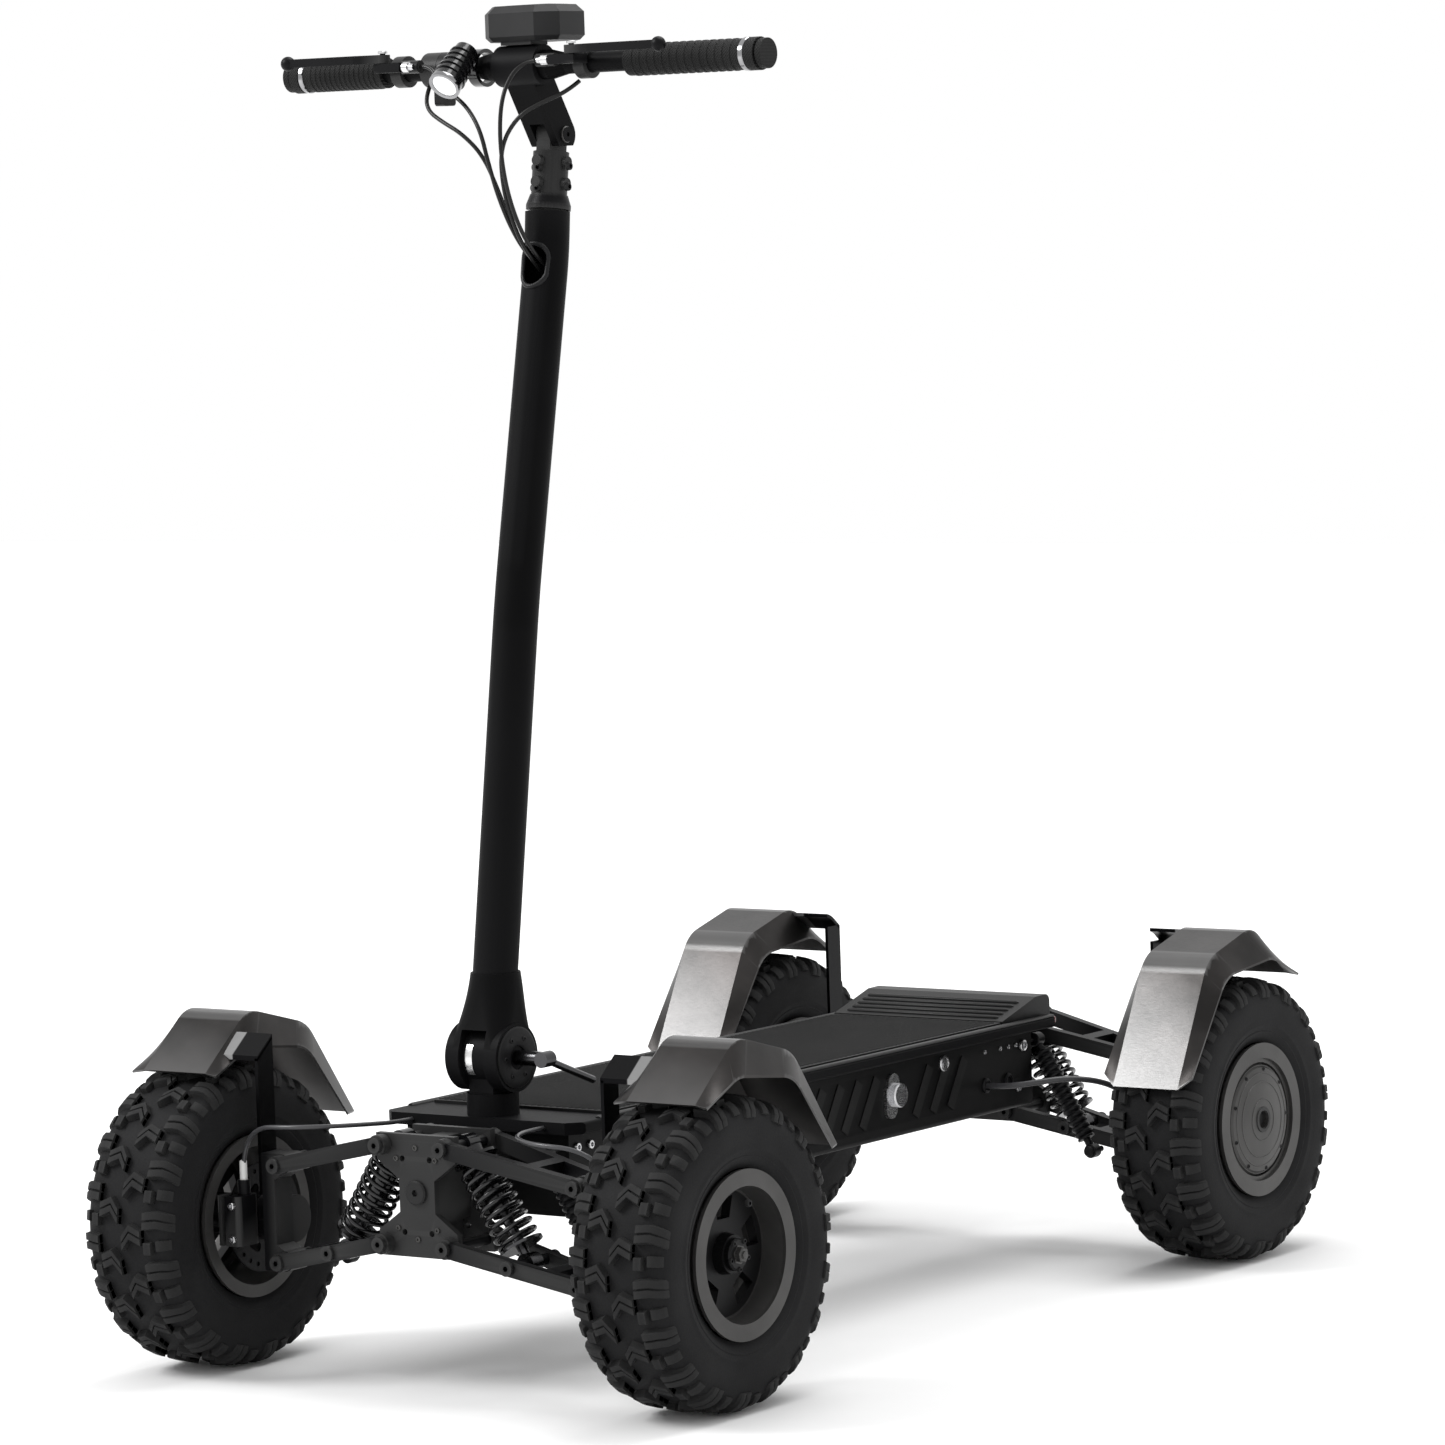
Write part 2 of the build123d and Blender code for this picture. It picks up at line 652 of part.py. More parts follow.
case_length = case_rear - case_front
case_middle = (case_rear + case_front) / 2
case_height = deck_floor - case_floor
rib_width, rib_length, rib_lean, rib_pitch = 14.0, 62.0, 32.0, 36.0
port_y = 155.0
port_z_side = 226.0
rib_places = [case_front + 60 + rib_pitch * rib for rib in range(20)]
rib_places = [rib_y for rib_y in rib_places if abs(rib_y - port_y) > 40]
with BuildPart() as battery_case:
    with Locations((0, case_middle, case_floor + case_height / 2)):
        Box(2 * case_half_width, case_length, case_height)
    fillet(battery_case.edges().filter_by(Axis.Y).group_by(Axis.Z)[0], 6)
    with Locations((0, case_middle, case_floor + case_wall + case_height / 2)):
        Box(2 * (case_half_width - case_wall), case_length - 2 * case_wall, case_height, mode=Mode.SUBTRACT)
    for side in (-1, 1):
        with BuildSketch(Plane(origin=(side * case_half_width, 0, 0), x_dir=(0, 1, 0), z_dir=(side, 0, 0))):
            for rib_y in rib_places:
                with Locations(Location((rib_y, side * (case_floor + 46)), -side * rib_lean)):
                    Rectangle(rib_width, rib_length)
        extrude(amount=rib_height)
save("battery_case", battery_case.part)

with BuildPart() as battery_pack:
    with Locations((0, case_middle - 120, case_floor + case_wall + 37)):
        Box(170, 560, 74)
    chamfer(battery_pack.edges().filter_by(Axis.Y), 3)
save("battery_pack", battery_pack.part)

with BuildPart() as motor_controller:
    with Locations((0, case_rear - 130, case_floor + case_wall + 22)):
        Box(110, 180, 44)
    with Locations((0, case_rear - 130, case_floor + case_wall + 47)):
        with GridLocations(12, 0, 8, 1):
            Box(4, 170, 8)
save("motor_controller", motor_controller.part)

with BuildPart() as charge_port:
    with BuildSketch(Plane(origin=(case_half_width, port_y, port_z_side), x_dir=(0, 1, 0), z_dir=(1, 0, 0))):
        SlotOverall(52, 22, rotation=80)
        Rectangle(26, 20)
    extrude(amount=4)
    with BuildSketch(Plane(origin=(case_half_width + 4, port_y + 9, port_z_side), x_dir=(0, 1, 0), z_dir=(1, 0, 0))):
        Circle(14)
    extrude(amount=6)
    chamfer(charge_port.faces().sort_by(Axis.X)[-1].edges(), 1.5)
save("charge_port", charge_port.part)

# ---------------------------------------------------------------- folding stem
fold_axis_plane = Plane(origin=(0, fold_y, fold_z), x_dir=(0, 1, 0), z_dir=(1, 0, 0))
slot_radius = inner_barrel_radius + 1.0
slot_half = inner_barrel_half_width + gap
stub_top = fold_z - barrel_radius - 1.0
slot_depth = slot_radius + 20.0    # how far below the pin the housing's slot is cut
neck_room = 23.0                   # how far above the pin it is open at the back, where the neck passes

with BuildPart() as stem_base:
    with BuildSketch(Plane(origin=(0, fold_y, deck_top))):
        Circle(stub_radius)
    extrude(amount=stub_top - deck_top)
    with Locations((0, fold_y, (stub_top + fold_z) / 2)):
        Box(2 * inner_barrel_half_width, 40, fold_z - stub_top)
    with BuildSketch(fold_axis_plane):
        Circle(inner_barrel_radius)
    extrude(amount=inner_barrel_half_width, both=True)
    with BuildSketch(fold_axis_plane):
        Circle(fold_pin_radius + fit)
    extrude(amount=inner_barrel_half_width + 1, both=True, mode=Mode.SUBTRACT)
save("stem_base", stem_base.part)

foot_y, foot_z = stem_foot
with BuildPart() as stem_housing:
    bell_sections = [
        (foot_z, foot_y, 2 * collar_radius, 2 * collar_radius, collar_radius - 0.2),
        (401.0, foot_y - 3, 61.0, 60.0, 27.0),
        (378.0, fold_y + 5, 66.0, 64.0, 22.0),
        (354.0, fold_y, 68.0, 70.0, 8.0),
    ]
    for z, y, width, depth, corner in bell_sections:
        with BuildSketch(Plane(origin=(0, y, z))):
            RectangleRounded(width, depth, corner)
    loft()
    with BuildSketch(fold_axis_plane):
        Circle(barrel_radius)
    extrude(amount=barrel_half_width, both=True)
    with BuildSketch(fold_axis_plane):
        Circle(slot_radius)
        with Locations((-26, -10)):
            Rectangle(98, 2 * slot_radius + 20)
        with Locations((38, (neck_room - slot_depth) / 2)):
            Rectangle(76, neck_room + slot_depth)
    extrude(amount=slot_half, both=True, mode=Mode.SUBTRACT)
    with BuildSketch(fold_axis_plane):
        Circle(fold_pin_radius + fit)
    extrude(amount=barrel_half_width + 1, both=True, mode=Mode.SUBTRACT)
    with BuildSketch(fold_axis_plane.offset(barrel_half_width)):
        Circle(33.4)
        Circle(32.0, mode=Mode.SUBTRACT)
    extrude(amount=-2, mode=Mode.SUBTRACT)
    with BuildSketch(fold_axis_plane.offset(-barrel_half_width)):
        Circle(33.4)
        Circle(32.0, mode=Mode.SUBTRACT)
    extrude(amount=2, mode=Mode.SUBTRACT)
save("stem_housing", stem_housing.part)

port_height, port_width = 46.0, 33.0
with BuildPart() as stem_tube:
    with BuildLine() as stem_line:
        FilletPolyline(
            (0, foot_y - 3, foot_z - 18), (0, *stem_bend_low), (0, *stem_bend_high), (0, *stem_top),
            radius=(1700, 420),
        )
    with BuildSketch(Plane(origin=stem_line.line @ 0, z_dir=stem_line.line % 0)):
        Circle(stem_radius)
        Circle(stem_radius - stem_wall, mode=Mode.SUBTRACT)
    sweep()
    split(bisect_by=Plane.XY.offset(foot_z), keep=Keep.TOP)
    with BuildSketch(Plane(origin=(0, stem_bend_high[0], port_z), x_dir=(1, 0, 0), z_dir=(0, -1, 0))):
        SlotOverall(port_height, port_width, rotation=90)
    extrude(amount=2 * stem_radius, mode=Mode.SUBTRACT)
save("stem_tube", stem_tube.part)

post_foot = Vector(0, stem_top[0] - 1.8, stem_top[1] - 20)
post_line = Vector(0, head_y, head_z) - post_foot
post_plane = Plane(origin=post_foot, x_dir=(1, 0, 0), z_dir=post_line)
ear_half = 9.0
ear_radius = 17.0
head_bolt_radius = 5.0
head_plane = Plane(origin=(0, head_y, head_z), x_dir=(0, 1, 0), z_dir=(1, 0, 0))
with BuildPart() as stem_post:
    with BuildSketch(post_plane):
        Circle(post_radius)
    extrude(amount=post_line.length - ear_radius - 1.5)
    with Locations(post_plane):
        with Locations((0, 0, post_line.length - 14)):
            Box(2 * ear_half, 2 * ear_radius - 4, 28)
    with BuildSketch(head_plane):
        Circle(ear_radius - 0.5)
    extrude(amount=ear_half, both=True)
    with BuildSketch(head_plane):
        Circle(head_bolt_radius + fit)
    extrude(amount=ear_half + 1, both=True, mode=Mode.SUBTRACT)
with BuildPart() as post_collar:
    with BuildSketch(post_plane.offset(22)):
        Circle(stem_radius)
    extrude(amount=5)
    with BuildSketch(post_plane.offset(27)):
        Circle(stem_radius)
    with BuildSketch(post_plane.offset(38)):
        Circle(post_radius + 1)
    loft()
    with BuildSketch(post_plane.offset(22)):
        Circle(post_radius)
    extrude(amount=20, mode=Mode.SUBTRACT)
with BuildPart() as post_bolts:
    for height in (50.0, 73.0):
        with Locations(post_plane):
            with Locations((post_radius + 2.2, 0, height)):
                Cylinder(6, 5, rotation=(0, 90, 0))
            with Locations((0, -post_radius - 3.2, height)):
                Cylinder(6, 7, rotation=(90, 0, 0))
save("stem_post", stem_post.part, post_collar.part, post_bolts.part)

lever_reach_y, lever_drop_z = 84.0, 33.0
pin_end = 72.0
with BuildPart() as fold_lever:
    with BuildSketch(fold_axis_plane.offset(-barrel_half_width - 5)):
        Circle(fold_pin_radius)
    extrude(amount=barrel_half_width + 5 + pin_end)
    with BuildSketch(fold_axis_plane.offset(-barrel_half_width - 5)):
        Circle(13)
    extrude(amount=4.5)
    with Locations((pin_end, fold_y, fold_z)):
        Cylinder(8.5, 17, rotation=(90, 0, 0))
    with BuildSketch(Plane(origin=(pin_end, fold_y, fold_z), z_dir=(0, lever_reach_y, -lever_drop_z))):
        Circle(4)
    extrude(amount=hypot(lever_reach_y, lever_drop_z))
    fillet(fold_lever.faces().sort_by(Axis.Y)[-1].edges(), 1.5)
save("fold_lever", fold_lever.part)

# ---------------------------------------------------------------- handlebar head
head_reach = hypot(bar_y - head_y, bar_z - head_z)
head_line = (0, bar_y - head_y, bar_z - head_z)
head_arm_plane = Plane(origin=(0, head_y, head_z), x_dir=(1, 0, 0), z_dir=head_line)
bar_plane = Plane(origin=(0, bar_y, bar_z), x_dir=(0, 1, 0), z_dir=(1, 0, 0))
cheek_half = 18.5
arm_height = 34.0
clamp_radius = 22.0

with BuildPart() as bar_head:
    with Locations(head_arm_plane):
        with Locations((0, 0, head_reach / 2)):
            Box(2 * cheek_half, arm_height, head_reach)
    with BuildSketch(head_plane):
        Circle(arm_height / 2)
    extrude(amount=cheek_half, both=True)
    with BuildSketch(bar_plane):
        Circle(clamp_radius)
    extrude(amount=bar_clamp_half - 4, both=True)
    with BuildSketch(head_plane):
        Circle(post_radius + ear_radius - 7)
    extrude(amount=ear_half + gap, both=True, mode=Mode.SUBTRACT)
    with Locations(head_plane):
        with Locations((0, -34, 0)):
            Box(60, 44, 60, mode=Mode.SUBTRACT)
    with BuildSketch(head_plane):
        Circle(head_bolt_radius)
    extrude(amount=cheek_half + 1, both=True, mode=Mode.SUBTRACT)
    with BuildSketch(bar_plane):
        Circle(bar_clamp_radius)
    extrude(amount=bar_clamp_half + 1, both=True, mode=Mode.SUBTRACT)
with BuildPart() as head_bolt:
    with BuildSketch(head_plane):
        Circle(head_bolt_radius)
    extrude(amount=cheek_half, both=True)
    for side in (-1, 1):
        with BuildSketch(head_plane.offset(side * cheek_half)):
            Circle(8)
            RegularPolygon(2.6, 6, mode=Mode.SUBTRACT)
        extrude(amount=side * 3)
save("bar_head", bar_head.part, head_bolt.part)

with BuildPart() as handlebar:
    with BuildSketch(Plane(origin=(0, bar_y, bar_z), x_dir=(1, 0, 0), z_dir=(0, -1, 0))):
        with BuildLine():
            half_bar = Polyline(
                (0, bar_clamp_radius), (bar_clamp_half + 6, bar_clamp_radius),
                (bar_clamp_half + 28, bar_end_radius), (bar_half_length, bar_end_radius),
                (bar_half_length, 0),
            )
            mirror(half_bar, about=Plane.YZ)
            Line((-bar_half_length, 0), (bar_half_length, 0))
        make_face()
    revolve(axis=Axis((0, bar_y, bar_z), (1, 0, 0)))
save("handlebar", handlebar.part)

with BuildPart() as grips:
    for side in (-1, 1):
        with BuildSketch(bar_plane.offset(side * grip_inner[side])):
            Circle(grip_radius)
            Circle(bar_end_radius, mode=Mode.SUBTRACT)
        extrude(amount=side * (grip_outer - grip_inner[side]))
with BuildPart() as grip_caps:
    for side in (-1, 1):
        with BuildSketch(bar_plane.offset(side * grip_outer)):
            Circle(grip_radius + 1)
            Circle(bar_end_radius, mode=Mode.SUBTRACT)
        extrude(amount=side * 12)
        with BuildSketch(bar_plane.offset(side * bar_half_length)):
            Circle(grip_radius - 0.5)
        extrude(amount=side * 7)
save("grips", grips.part, grip_caps.part)

with BuildPart() as display:
    with Locations((0, bar_y + 22, display_floor + display_height / 2)):
        Box(2 * display_half_width, 84, display_height)
    chamfer(display.edges().filter_by(Axis.Z), 20)
    chamfer(display.faces().sort_by(Axis.Z)[-1].edges(), 8)
    chamfer(display.faces().sort_by(Axis.Z)[0].edges(), 5)
with BuildPart() as display_bracket:
    with Locations((0, bar_y + 2, (bar_z + clamp_radius + display_floor) / 2)):
        Box(40, 30, display_floor - bar_z - clamp_radius)
save("display", display.part, display_bracket.part)

perch_reach = lever_lead
lever_pivot_z = bar_z + 8.0
lever_bore = 3.0
with BuildPart() as perches:
    for perch_x, outward in ((left_perch_x, 1), (right_perch_x, -1)):
        with BuildSketch(bar_plane.offset(perch_x - 7)):
            Circle(17)
            Circle(bar_end_radius, mode=Mode.SUBTRACT)
        extrude(amount=14)
        with Locations((perch_x - outward * 6, bar_y - perch_reach + 5.5, lever_pivot_z - 4)):
            Box(34, 25, 10)
        with BuildSketch(Plane(origin=(perch_x + outward * 4, bar_y - perch_reach, lever_pivot_z + 1))):
            Circle(lever_bore)
        extrude(amount=12)
        with BuildSketch(Plane(
            origin=(perch_x - outward * 20, bar_y - perch_reach + 4, lever_pivot_z - 4), x_dir=(0, 1, 0),
            z_dir=(-outward, 0, 0),
        )):
            Circle(7)
        extrude(amount=24)
throttle_x = -116.0
with BuildPart() as throttle_pod:
    with BuildSketch(bar_plane.offset(throttle_x - 11)):
        Circle(19)
        Circle(bar_end_radius, mode=Mode.SUBTRACT)
    extrude(amount=22)
save("lever_perches", perches.part, throttle_pod.part)

lever_pivot_x = {"left": left_perch_x + 4, "right": right_perch_x - 4}
lever_pivot_y = bar_y - perch_reach
pivot_x = lever_pivot_x["left"]
tip_x = pivot_x + lever_length
with BuildPart() as brake_lever:
    with BuildSketch(Plane.XY.offset(lever_pivot_z + 1.5)):
        with BuildLine():
            Polyline(
                (pivot_x, lever_pivot_y - 8), (pivot_x + 30, lever_pivot_y - 14),
                (tip_x, lever_pivot_y - 17),
                (tip_x, lever_pivot_y - 7), (pivot_x + 34, lever_pivot_y - 4), (pivot_x, lever_pivot_y + 8),
                close=True,
            )
        make_face()
        with Locations((pivot_x, lever_pivot_y)):
            Circle(8)
            Circle(lever_bore + fit, mode=Mode.SUBTRACT)
    extrude(amount=9)
    with Locations((tip_x, lever_pivot_y - 12, lever_pivot_z + 6)):
        Sphere(8)
lever_mirror = Plane.YZ.offset((lever_pivot_x["left"] + lever_pivot_x["right"]) / 2)
save("brake_lever_left", brake_lever.part)
save("brake_lever_right", mirror(brake_lever.part, about=lever_mirror))

with BuildPart() as throttle_lever:
    with BuildSketch(bar_plane.offset(throttle_x + 11.5)):
        Circle(19)
        Circle(bar_end_radius + 0.3, mode=Mode.SUBTRACT)
        with Locations((-12, -26)):
            RectangleRounded(22, 26, 4)
        Circle(bar_end_radius + 0.3, mode=Mode.SUBTRACT)
    extrude(amount=12)
save("throttle_lever", throttle_lever.part)

light_tilt = radians(42)
light_length = 54.0
light_plane = Plane(
    origin=(light_x, bar_y - 26, bar_z + 18), x_dir=(1, 0, 0), z_dir=(0, -cos(light_tilt), -sin(light_tilt)),
)
light_strap_radius = 17.5
with BuildPart() as headlight:
    with BuildSketch(light_plane):
        Circle(13)
    with BuildSketch(light_plane.offset(light_length)):
        Circle(17.5)
    loft()
    with BuildSketch(bar_plane.offset(light_x - 6)):
        Circle(light_strap_radius + 3)
    extrude(amount=12)
    with BuildSketch(bar_plane.offset(light_x - 30)):
        Circle(light_strap_radius - 1)
    extrude(amount=60, mode=Mode.SUBTRACT)
save("headlight", headlight.part)

# ---------------------------------------------------------------- cables
# The first point of each is at its lever, throttle or lamp, and the last is inside the stem, behind the port.
cable_diameter = 4.6
stem_cable_routes = [
    [(40, -348, 1396), (27, -348, 1396), (14, -360, 1384), (9, -374, 1356), (8, -378, 1312), (8, -370, 1264),
     (7, -348, 1220), (6, -322, 1192), (6, -304, 1180)],
    [(78, -326, 1373), (70, -338, 1362), (48, -352, 1352), (24, -366, 1338), (4, -372, 1306), (1, -366, 1262),
     (0, -348, 1222), (0, -326, 1192), (0, -304, 1174)],
    [(-118, -348, 1396), (-106, -348, 1396), (-92, -354, 1384), (-72, -356, 1366), (-44, -364, 1350),
     (-20, -374, 1324), (-9, -377, 1290), (-6, -364, 1250), (-5, -342, 1214), (-5, -318, 1190),
     (-5, -300, 1179)],
    [(-116, -333, 1378), (-117, -342, 1364), (-108, -350, 1348), (-84, -358, 1336), (-54, -362, 1322),
     (-30, -358, 1298), (-18, -350, 1262), (-13, -336, 1224), (-11, -318, 1196), (-10, -300, 1186)],
]
stem_cables = [cord(route, cable_diameter) for route in stem_cable_routes]
save("stem_cables", *stem_cables)

hose_diameter = 5.0
brake_hose_route = [
    (caliper_in + 9, axle_y - 46, axle_z + 47), (caliper_in + 9, axle_y - 46, axle_z + 72),
    (caliper_in - 8, axle_y - 52, axle_z + 97), (caliper_in - 32, axle_y - 60, axle_z + 108),
    (caliper_in - 62, axle_y - 66, axle_z + 110), (caliper_in - 92, axle_y - 60, axle_z + 111),
    (118, -556, 276), (98, -524, 275), (88, -494, 273.5), (88, -469, 273.5),
]
motor_lead_route = [
    (case_half_width, 352, 212), (134, 352, 212), (164, 366, 216), (194, 392, 220), (220, 424, 214),
    (232, 456, 198), (233, 491, 177),
]
front_hose = cord(brake_hose_route, hose_diameter)
rear_lead = cord(motor_lead_route, hose_diameter + 2)
wheel_lines = [front_hose, mirror(front_hose, about=Plane.YZ), rear_lead, mirror(rear_lead, about=Plane.YZ)]
save("wheel_lines", *wheel_lines)
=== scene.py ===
"""Four-wheeled stand-on electric board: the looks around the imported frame, in metres.

The row frame stands on the ground midway between the axles, with the front at -Y and the rider's left at +X.
"""
from math import cos, pi, radians, sin, sqrt

import bmesh
import bpy
from mathutils import Matrix, Vector


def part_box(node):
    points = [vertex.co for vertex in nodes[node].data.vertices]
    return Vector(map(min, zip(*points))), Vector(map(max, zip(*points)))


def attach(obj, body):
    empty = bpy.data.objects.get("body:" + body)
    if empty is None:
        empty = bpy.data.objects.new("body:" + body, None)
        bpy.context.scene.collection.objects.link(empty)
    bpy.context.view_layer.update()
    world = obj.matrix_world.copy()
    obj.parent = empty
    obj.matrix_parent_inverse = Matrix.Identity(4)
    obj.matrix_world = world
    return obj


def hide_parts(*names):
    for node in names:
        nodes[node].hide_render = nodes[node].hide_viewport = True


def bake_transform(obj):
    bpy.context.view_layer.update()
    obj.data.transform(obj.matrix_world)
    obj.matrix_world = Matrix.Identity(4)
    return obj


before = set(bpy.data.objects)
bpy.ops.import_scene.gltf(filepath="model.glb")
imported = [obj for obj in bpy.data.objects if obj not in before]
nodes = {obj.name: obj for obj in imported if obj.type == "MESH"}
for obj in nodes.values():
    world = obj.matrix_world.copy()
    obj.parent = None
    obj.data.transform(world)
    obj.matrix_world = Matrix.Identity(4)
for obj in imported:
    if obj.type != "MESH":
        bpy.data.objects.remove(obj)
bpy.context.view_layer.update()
MM = 0.001

# Places that the CAD nodes share, in the row frame.
FOLD_AXIS = Vector((0, -440, 342)) * MM
BARREL_HALF = 34 * MM                      # from the middle to the outer face of the fold barrel
STEM_BEND = Vector((0, -291, 1192)) * MM
STEM_TOP = Vector((0, -287, 1236)) * MM
STEM_RADIUS = 24.2 * MM
STEM_LEAN = 75 / 366                       # how far the upper tube leans back per unit of height
POST_LEAN = 0.16
PORT_Z = 1180 * MM
HEAD_HINGE = Vector((0, -274, 1318)) * MM
BAR_CENTRE = (-320 * MM, 1392 * MM)        # y, z
CASE_FACE = 108 * MM                       # outer face of the battery case's side
SHOCK_TOP = (42.5 * MM, 264 * MM)          # x, z of a shock's upper bolt, on the left side
SHOCK_FOOT = (119.5 * MM, 143 * MM)
RIM_RING_INNER = 66 * MM                   # where the rim's satin ring ends
FENDER_INBOARD = 263.25 * MM               # x where a fender's flange ends and its black bracket begins
RING_BLUR = 0.5 * MM
BRACKET_BLUR = 0.75 * MM

CORNERS = {"front_left": (1, -1), "front_right": (-1, -1), "rear_left": (1, 1), "rear_right": (-1, 1)}
LEVER_SIDES = {"left": 1, "right": -1}


# ---------------------------------------------------------------- materials
def finish(name, colour, roughness, metallic=0.0, specular=0.5, other=None, grain=900.0, bump=0.15,
           stretch=(1, 1, 1), spread=0.1, coat=0.0, painted_edge_highlight=None):
    """A paint, plastic, rubber or metal with a fine grain, soft patches of another shade and, where given, a
    painted highlight that lightens its sharp edges by pointiness.
    """
    material = bpy.data.materials.new(name)
    material.use_nodes = True
    tree = material.node_tree
    link = tree.links.new
    shader = tree.nodes["Principled BSDF"]
    shader.inputs["Metallic"].default_value = metallic
    shader.inputs["Specular IOR Level"].default_value = specular
    shader.inputs["Coat Weight"].default_value = coat
    shader.inputs["Coat Roughness"].default_value = 0.12

    place = tree.nodes.new("ShaderNodeTexCoord")
    scale = tree.nodes.new("ShaderNodeMapping")
    scale.inputs["Scale"].default_value = stretch
    link(place.outputs["Object"], scale.inputs["Vector"])

    fine = tree.nodes.new("ShaderNodeTexNoise")
    fine.inputs["Scale"].default_value = grain
    fine.inputs["Detail"].default_value = 5
    link(scale.outputs["Vector"], fine.inputs["Vector"])
    patches = tree.nodes.new("ShaderNodeTexNoise")
    patches.inputs["Scale"].default_value = 14
    patches.inputs["Detail"].default_value = 3
    link(place.outputs["Object"], patches.inputs["Vector"])

    shades = tree.nodes.new("ShaderNodeValToRGB")
    shades.color_ramp.elements[0].position = 0.35
    shades.color_ramp.elements[1].position = 0.7
    shades.color_ramp.elements[0].color = (*colour, 1)
    shades.color_ramp.elements[1].color = (*(other or [min(1, c * 1.5) for c in colour]), 1)
    link(patches.outputs["Fac"], shades.inputs["Fac"])
    painted = shades.outputs["Color"]
    # Painted highlight: sharp edges, found by pointiness, are lightened towards the given edge colour.
    if painted_edge_highlight:
        geometry = tree.nodes.new("ShaderNodeNewGeometry")
        edges = tree.nodes.new("ShaderNodeMapRange")
        edges.inputs["From Min"].default_value = 0.53
        edges.inputs["From Max"].default_value = 0.62
        link(geometry.outputs["Pointiness"], edges.inputs["Value"])
        mix = tree.nodes.new("ShaderNodeMixRGB")
        mix.inputs["Color2"].default_value = (*painted_edge_highlight, 1)
        link(edges.outputs["Result"], mix.inputs["Fac"])
        link(painted, mix.inputs["Color1"])
        painted = mix.outputs["Color"]
    link(painted, shader.inputs["Base Color"])

    rough = tree.nodes.new("ShaderNodeMapRange")
    rough.inputs["To Min"].default_value = max(0.03, roughness - spread)
    rough.inputs["To Max"].default_value = min(1, roughness + spread)
    link(fine.outputs["Fac"], rough.inputs["Value"])
    link(rough.outputs["Result"], shader.inputs["Roughness"])
    relief = tree.nodes.new("ShaderNodeBump")
    relief.inputs["Strength"].default_value = bump
    relief.inputs["Distance"].default_value = 0.0006
    link(fine.outputs["Fac"], relief.inputs["Height"])
    link(relief.outputs["Normal"], shader.inputs["Normal"])
    return material


def white_lens():
    """The lamp's frosted lens, which glows a little."""
    material = finish("lamp_lens", (0.82, 0.84, 0.84), 0.25, specular=0.5, grain=300, bump=0.1)
    shader = material.node_tree.nodes["Principled BSDF"]
    shader.inputs["Emission Color"].default_value = (1, 1, 1, 1)
    shader.inputs["Emission Strength"].default_value = 0.35
    return material


def knurled(name, colour, roughness):
    """Rubber with a fine diamond pattern, for the grips."""
    material = finish(name, colour, roughness, specular=0.15, grain=600, bump=0.2)
    tree = material.node_tree
    link = tree.links.new
    shader = tree.nodes["Principled BSDF"]
    place = tree.nodes["Texture Coordinate"]
    heights = []
    for turn in (radians(45), radians(-45)):
        turned = tree.nodes.new("ShaderNodeMapping")
        turned.inputs["Rotation"].default_value = (0, turn, 0)
        wave = tree.nodes.new("ShaderNodeTexWave")
        wave.inputs["Scale"].default_value = 130
        link(place.outputs["Object"], turned.inputs["Vector"])
        link(turned.outputs["Vector"], wave.inputs["Vector"])
        heights.append(wave.outputs["Fac"])
    both = tree.nodes.new("ShaderNodeMath")
    both.operation = "MULTIPLY"
    link(heights[0], both.inputs[0])
    link(heights[1], both.inputs[1])
    relief = tree.nodes.new("ShaderNodeBump")
    relief.inputs["Strength"].default_value = 0.6
    relief.inputs["Distance"].default_value = 0.0012
    link(both.outputs["Value"], relief.inputs["Height"])
    link(relief.outputs["Normal"], shader.inputs["Normal"])
    return material


# The edge colour given to a finish below is a painted highlight on its sharp edges.
RUBBER = finish("rubber", (0.0055, 0.0055, 0.006), 0.7, specular=0.14, other=(0.010, 0.010, 0.0105),
                grain=500, bump=0.35, painted_edge_highlight=(0.02, 0.02, 0.02))
SATIN_GREY = (0.045, 0.044, 0.043)
SATIN = finish("satin_rim", SATIN_GREY, 0.42, metallic=0.6, specular=0.3, grain=1400, bump=0.1)
ANODISED = finish("black_anodised", (0.003, 0.003, 0.0035), 0.42, metallic=0.15, specular=0.12, grain=1600,
                  bump=0.12, painted_edge_highlight=(0.03, 0.03, 0.03))
FENDER = finish("brushed_dark", (0.020, 0.019, 0.0185), 0.34, metallic=0.9, specular=0.3,
                other=(0.042, 0.039, 0.038), grain=160, stretch=(1, 9, 22), bump=0.05, spread=0.12,
                painted_edge_highlight=(0.22, 0.22, 0.22))
GLOSS = finish("black_gloss", (0.003, 0.003, 0.0035), 0.16, metallic=0.2, specular=0.35, grain=700, bump=0.04,
               coat=0.25)
SPRING = finish("spring_coat", (0.004, 0.004, 0.0045), 0.22, metallic=0.3, specular=0.45, grain=900, bump=0.05,
                coat=0.3)
ROD = finish("rod_steel", (0.05, 0.05, 0.052), 0.24, metallic=1.0, grain=1500, stretch=(1, 1, 0.1), bump=0.05)
COAT = finish("black_coat", (0.0018, 0.0018, 0.002), 0.5, specular=0.05, grain=2200, bump=0.12,
              painted_edge_highlight=(0.006, 0.006, 0.0065))
CASE = finish("case_coat", (0.0018, 0.0018, 0.002), 0.46, specular=0.08, grain=1800, bump=0.15,
              painted_edge_highlight=(0.012, 0.012, 0.012))
MAT = finish("mat_rubber", (0.006, 0.006, 0.006), 0.6, specular=0.2, grain=900, bump=0.3)
PAD = finish("pad_rubber", (0.004, 0.004, 0.004), 0.4, specular=0.2, grain=800, bump=0.15)
WRAP = finish("cell_wrap", (0.02, 0.05, 0.11), 0.4, specular=0.5, grain=400, bump=0.1)
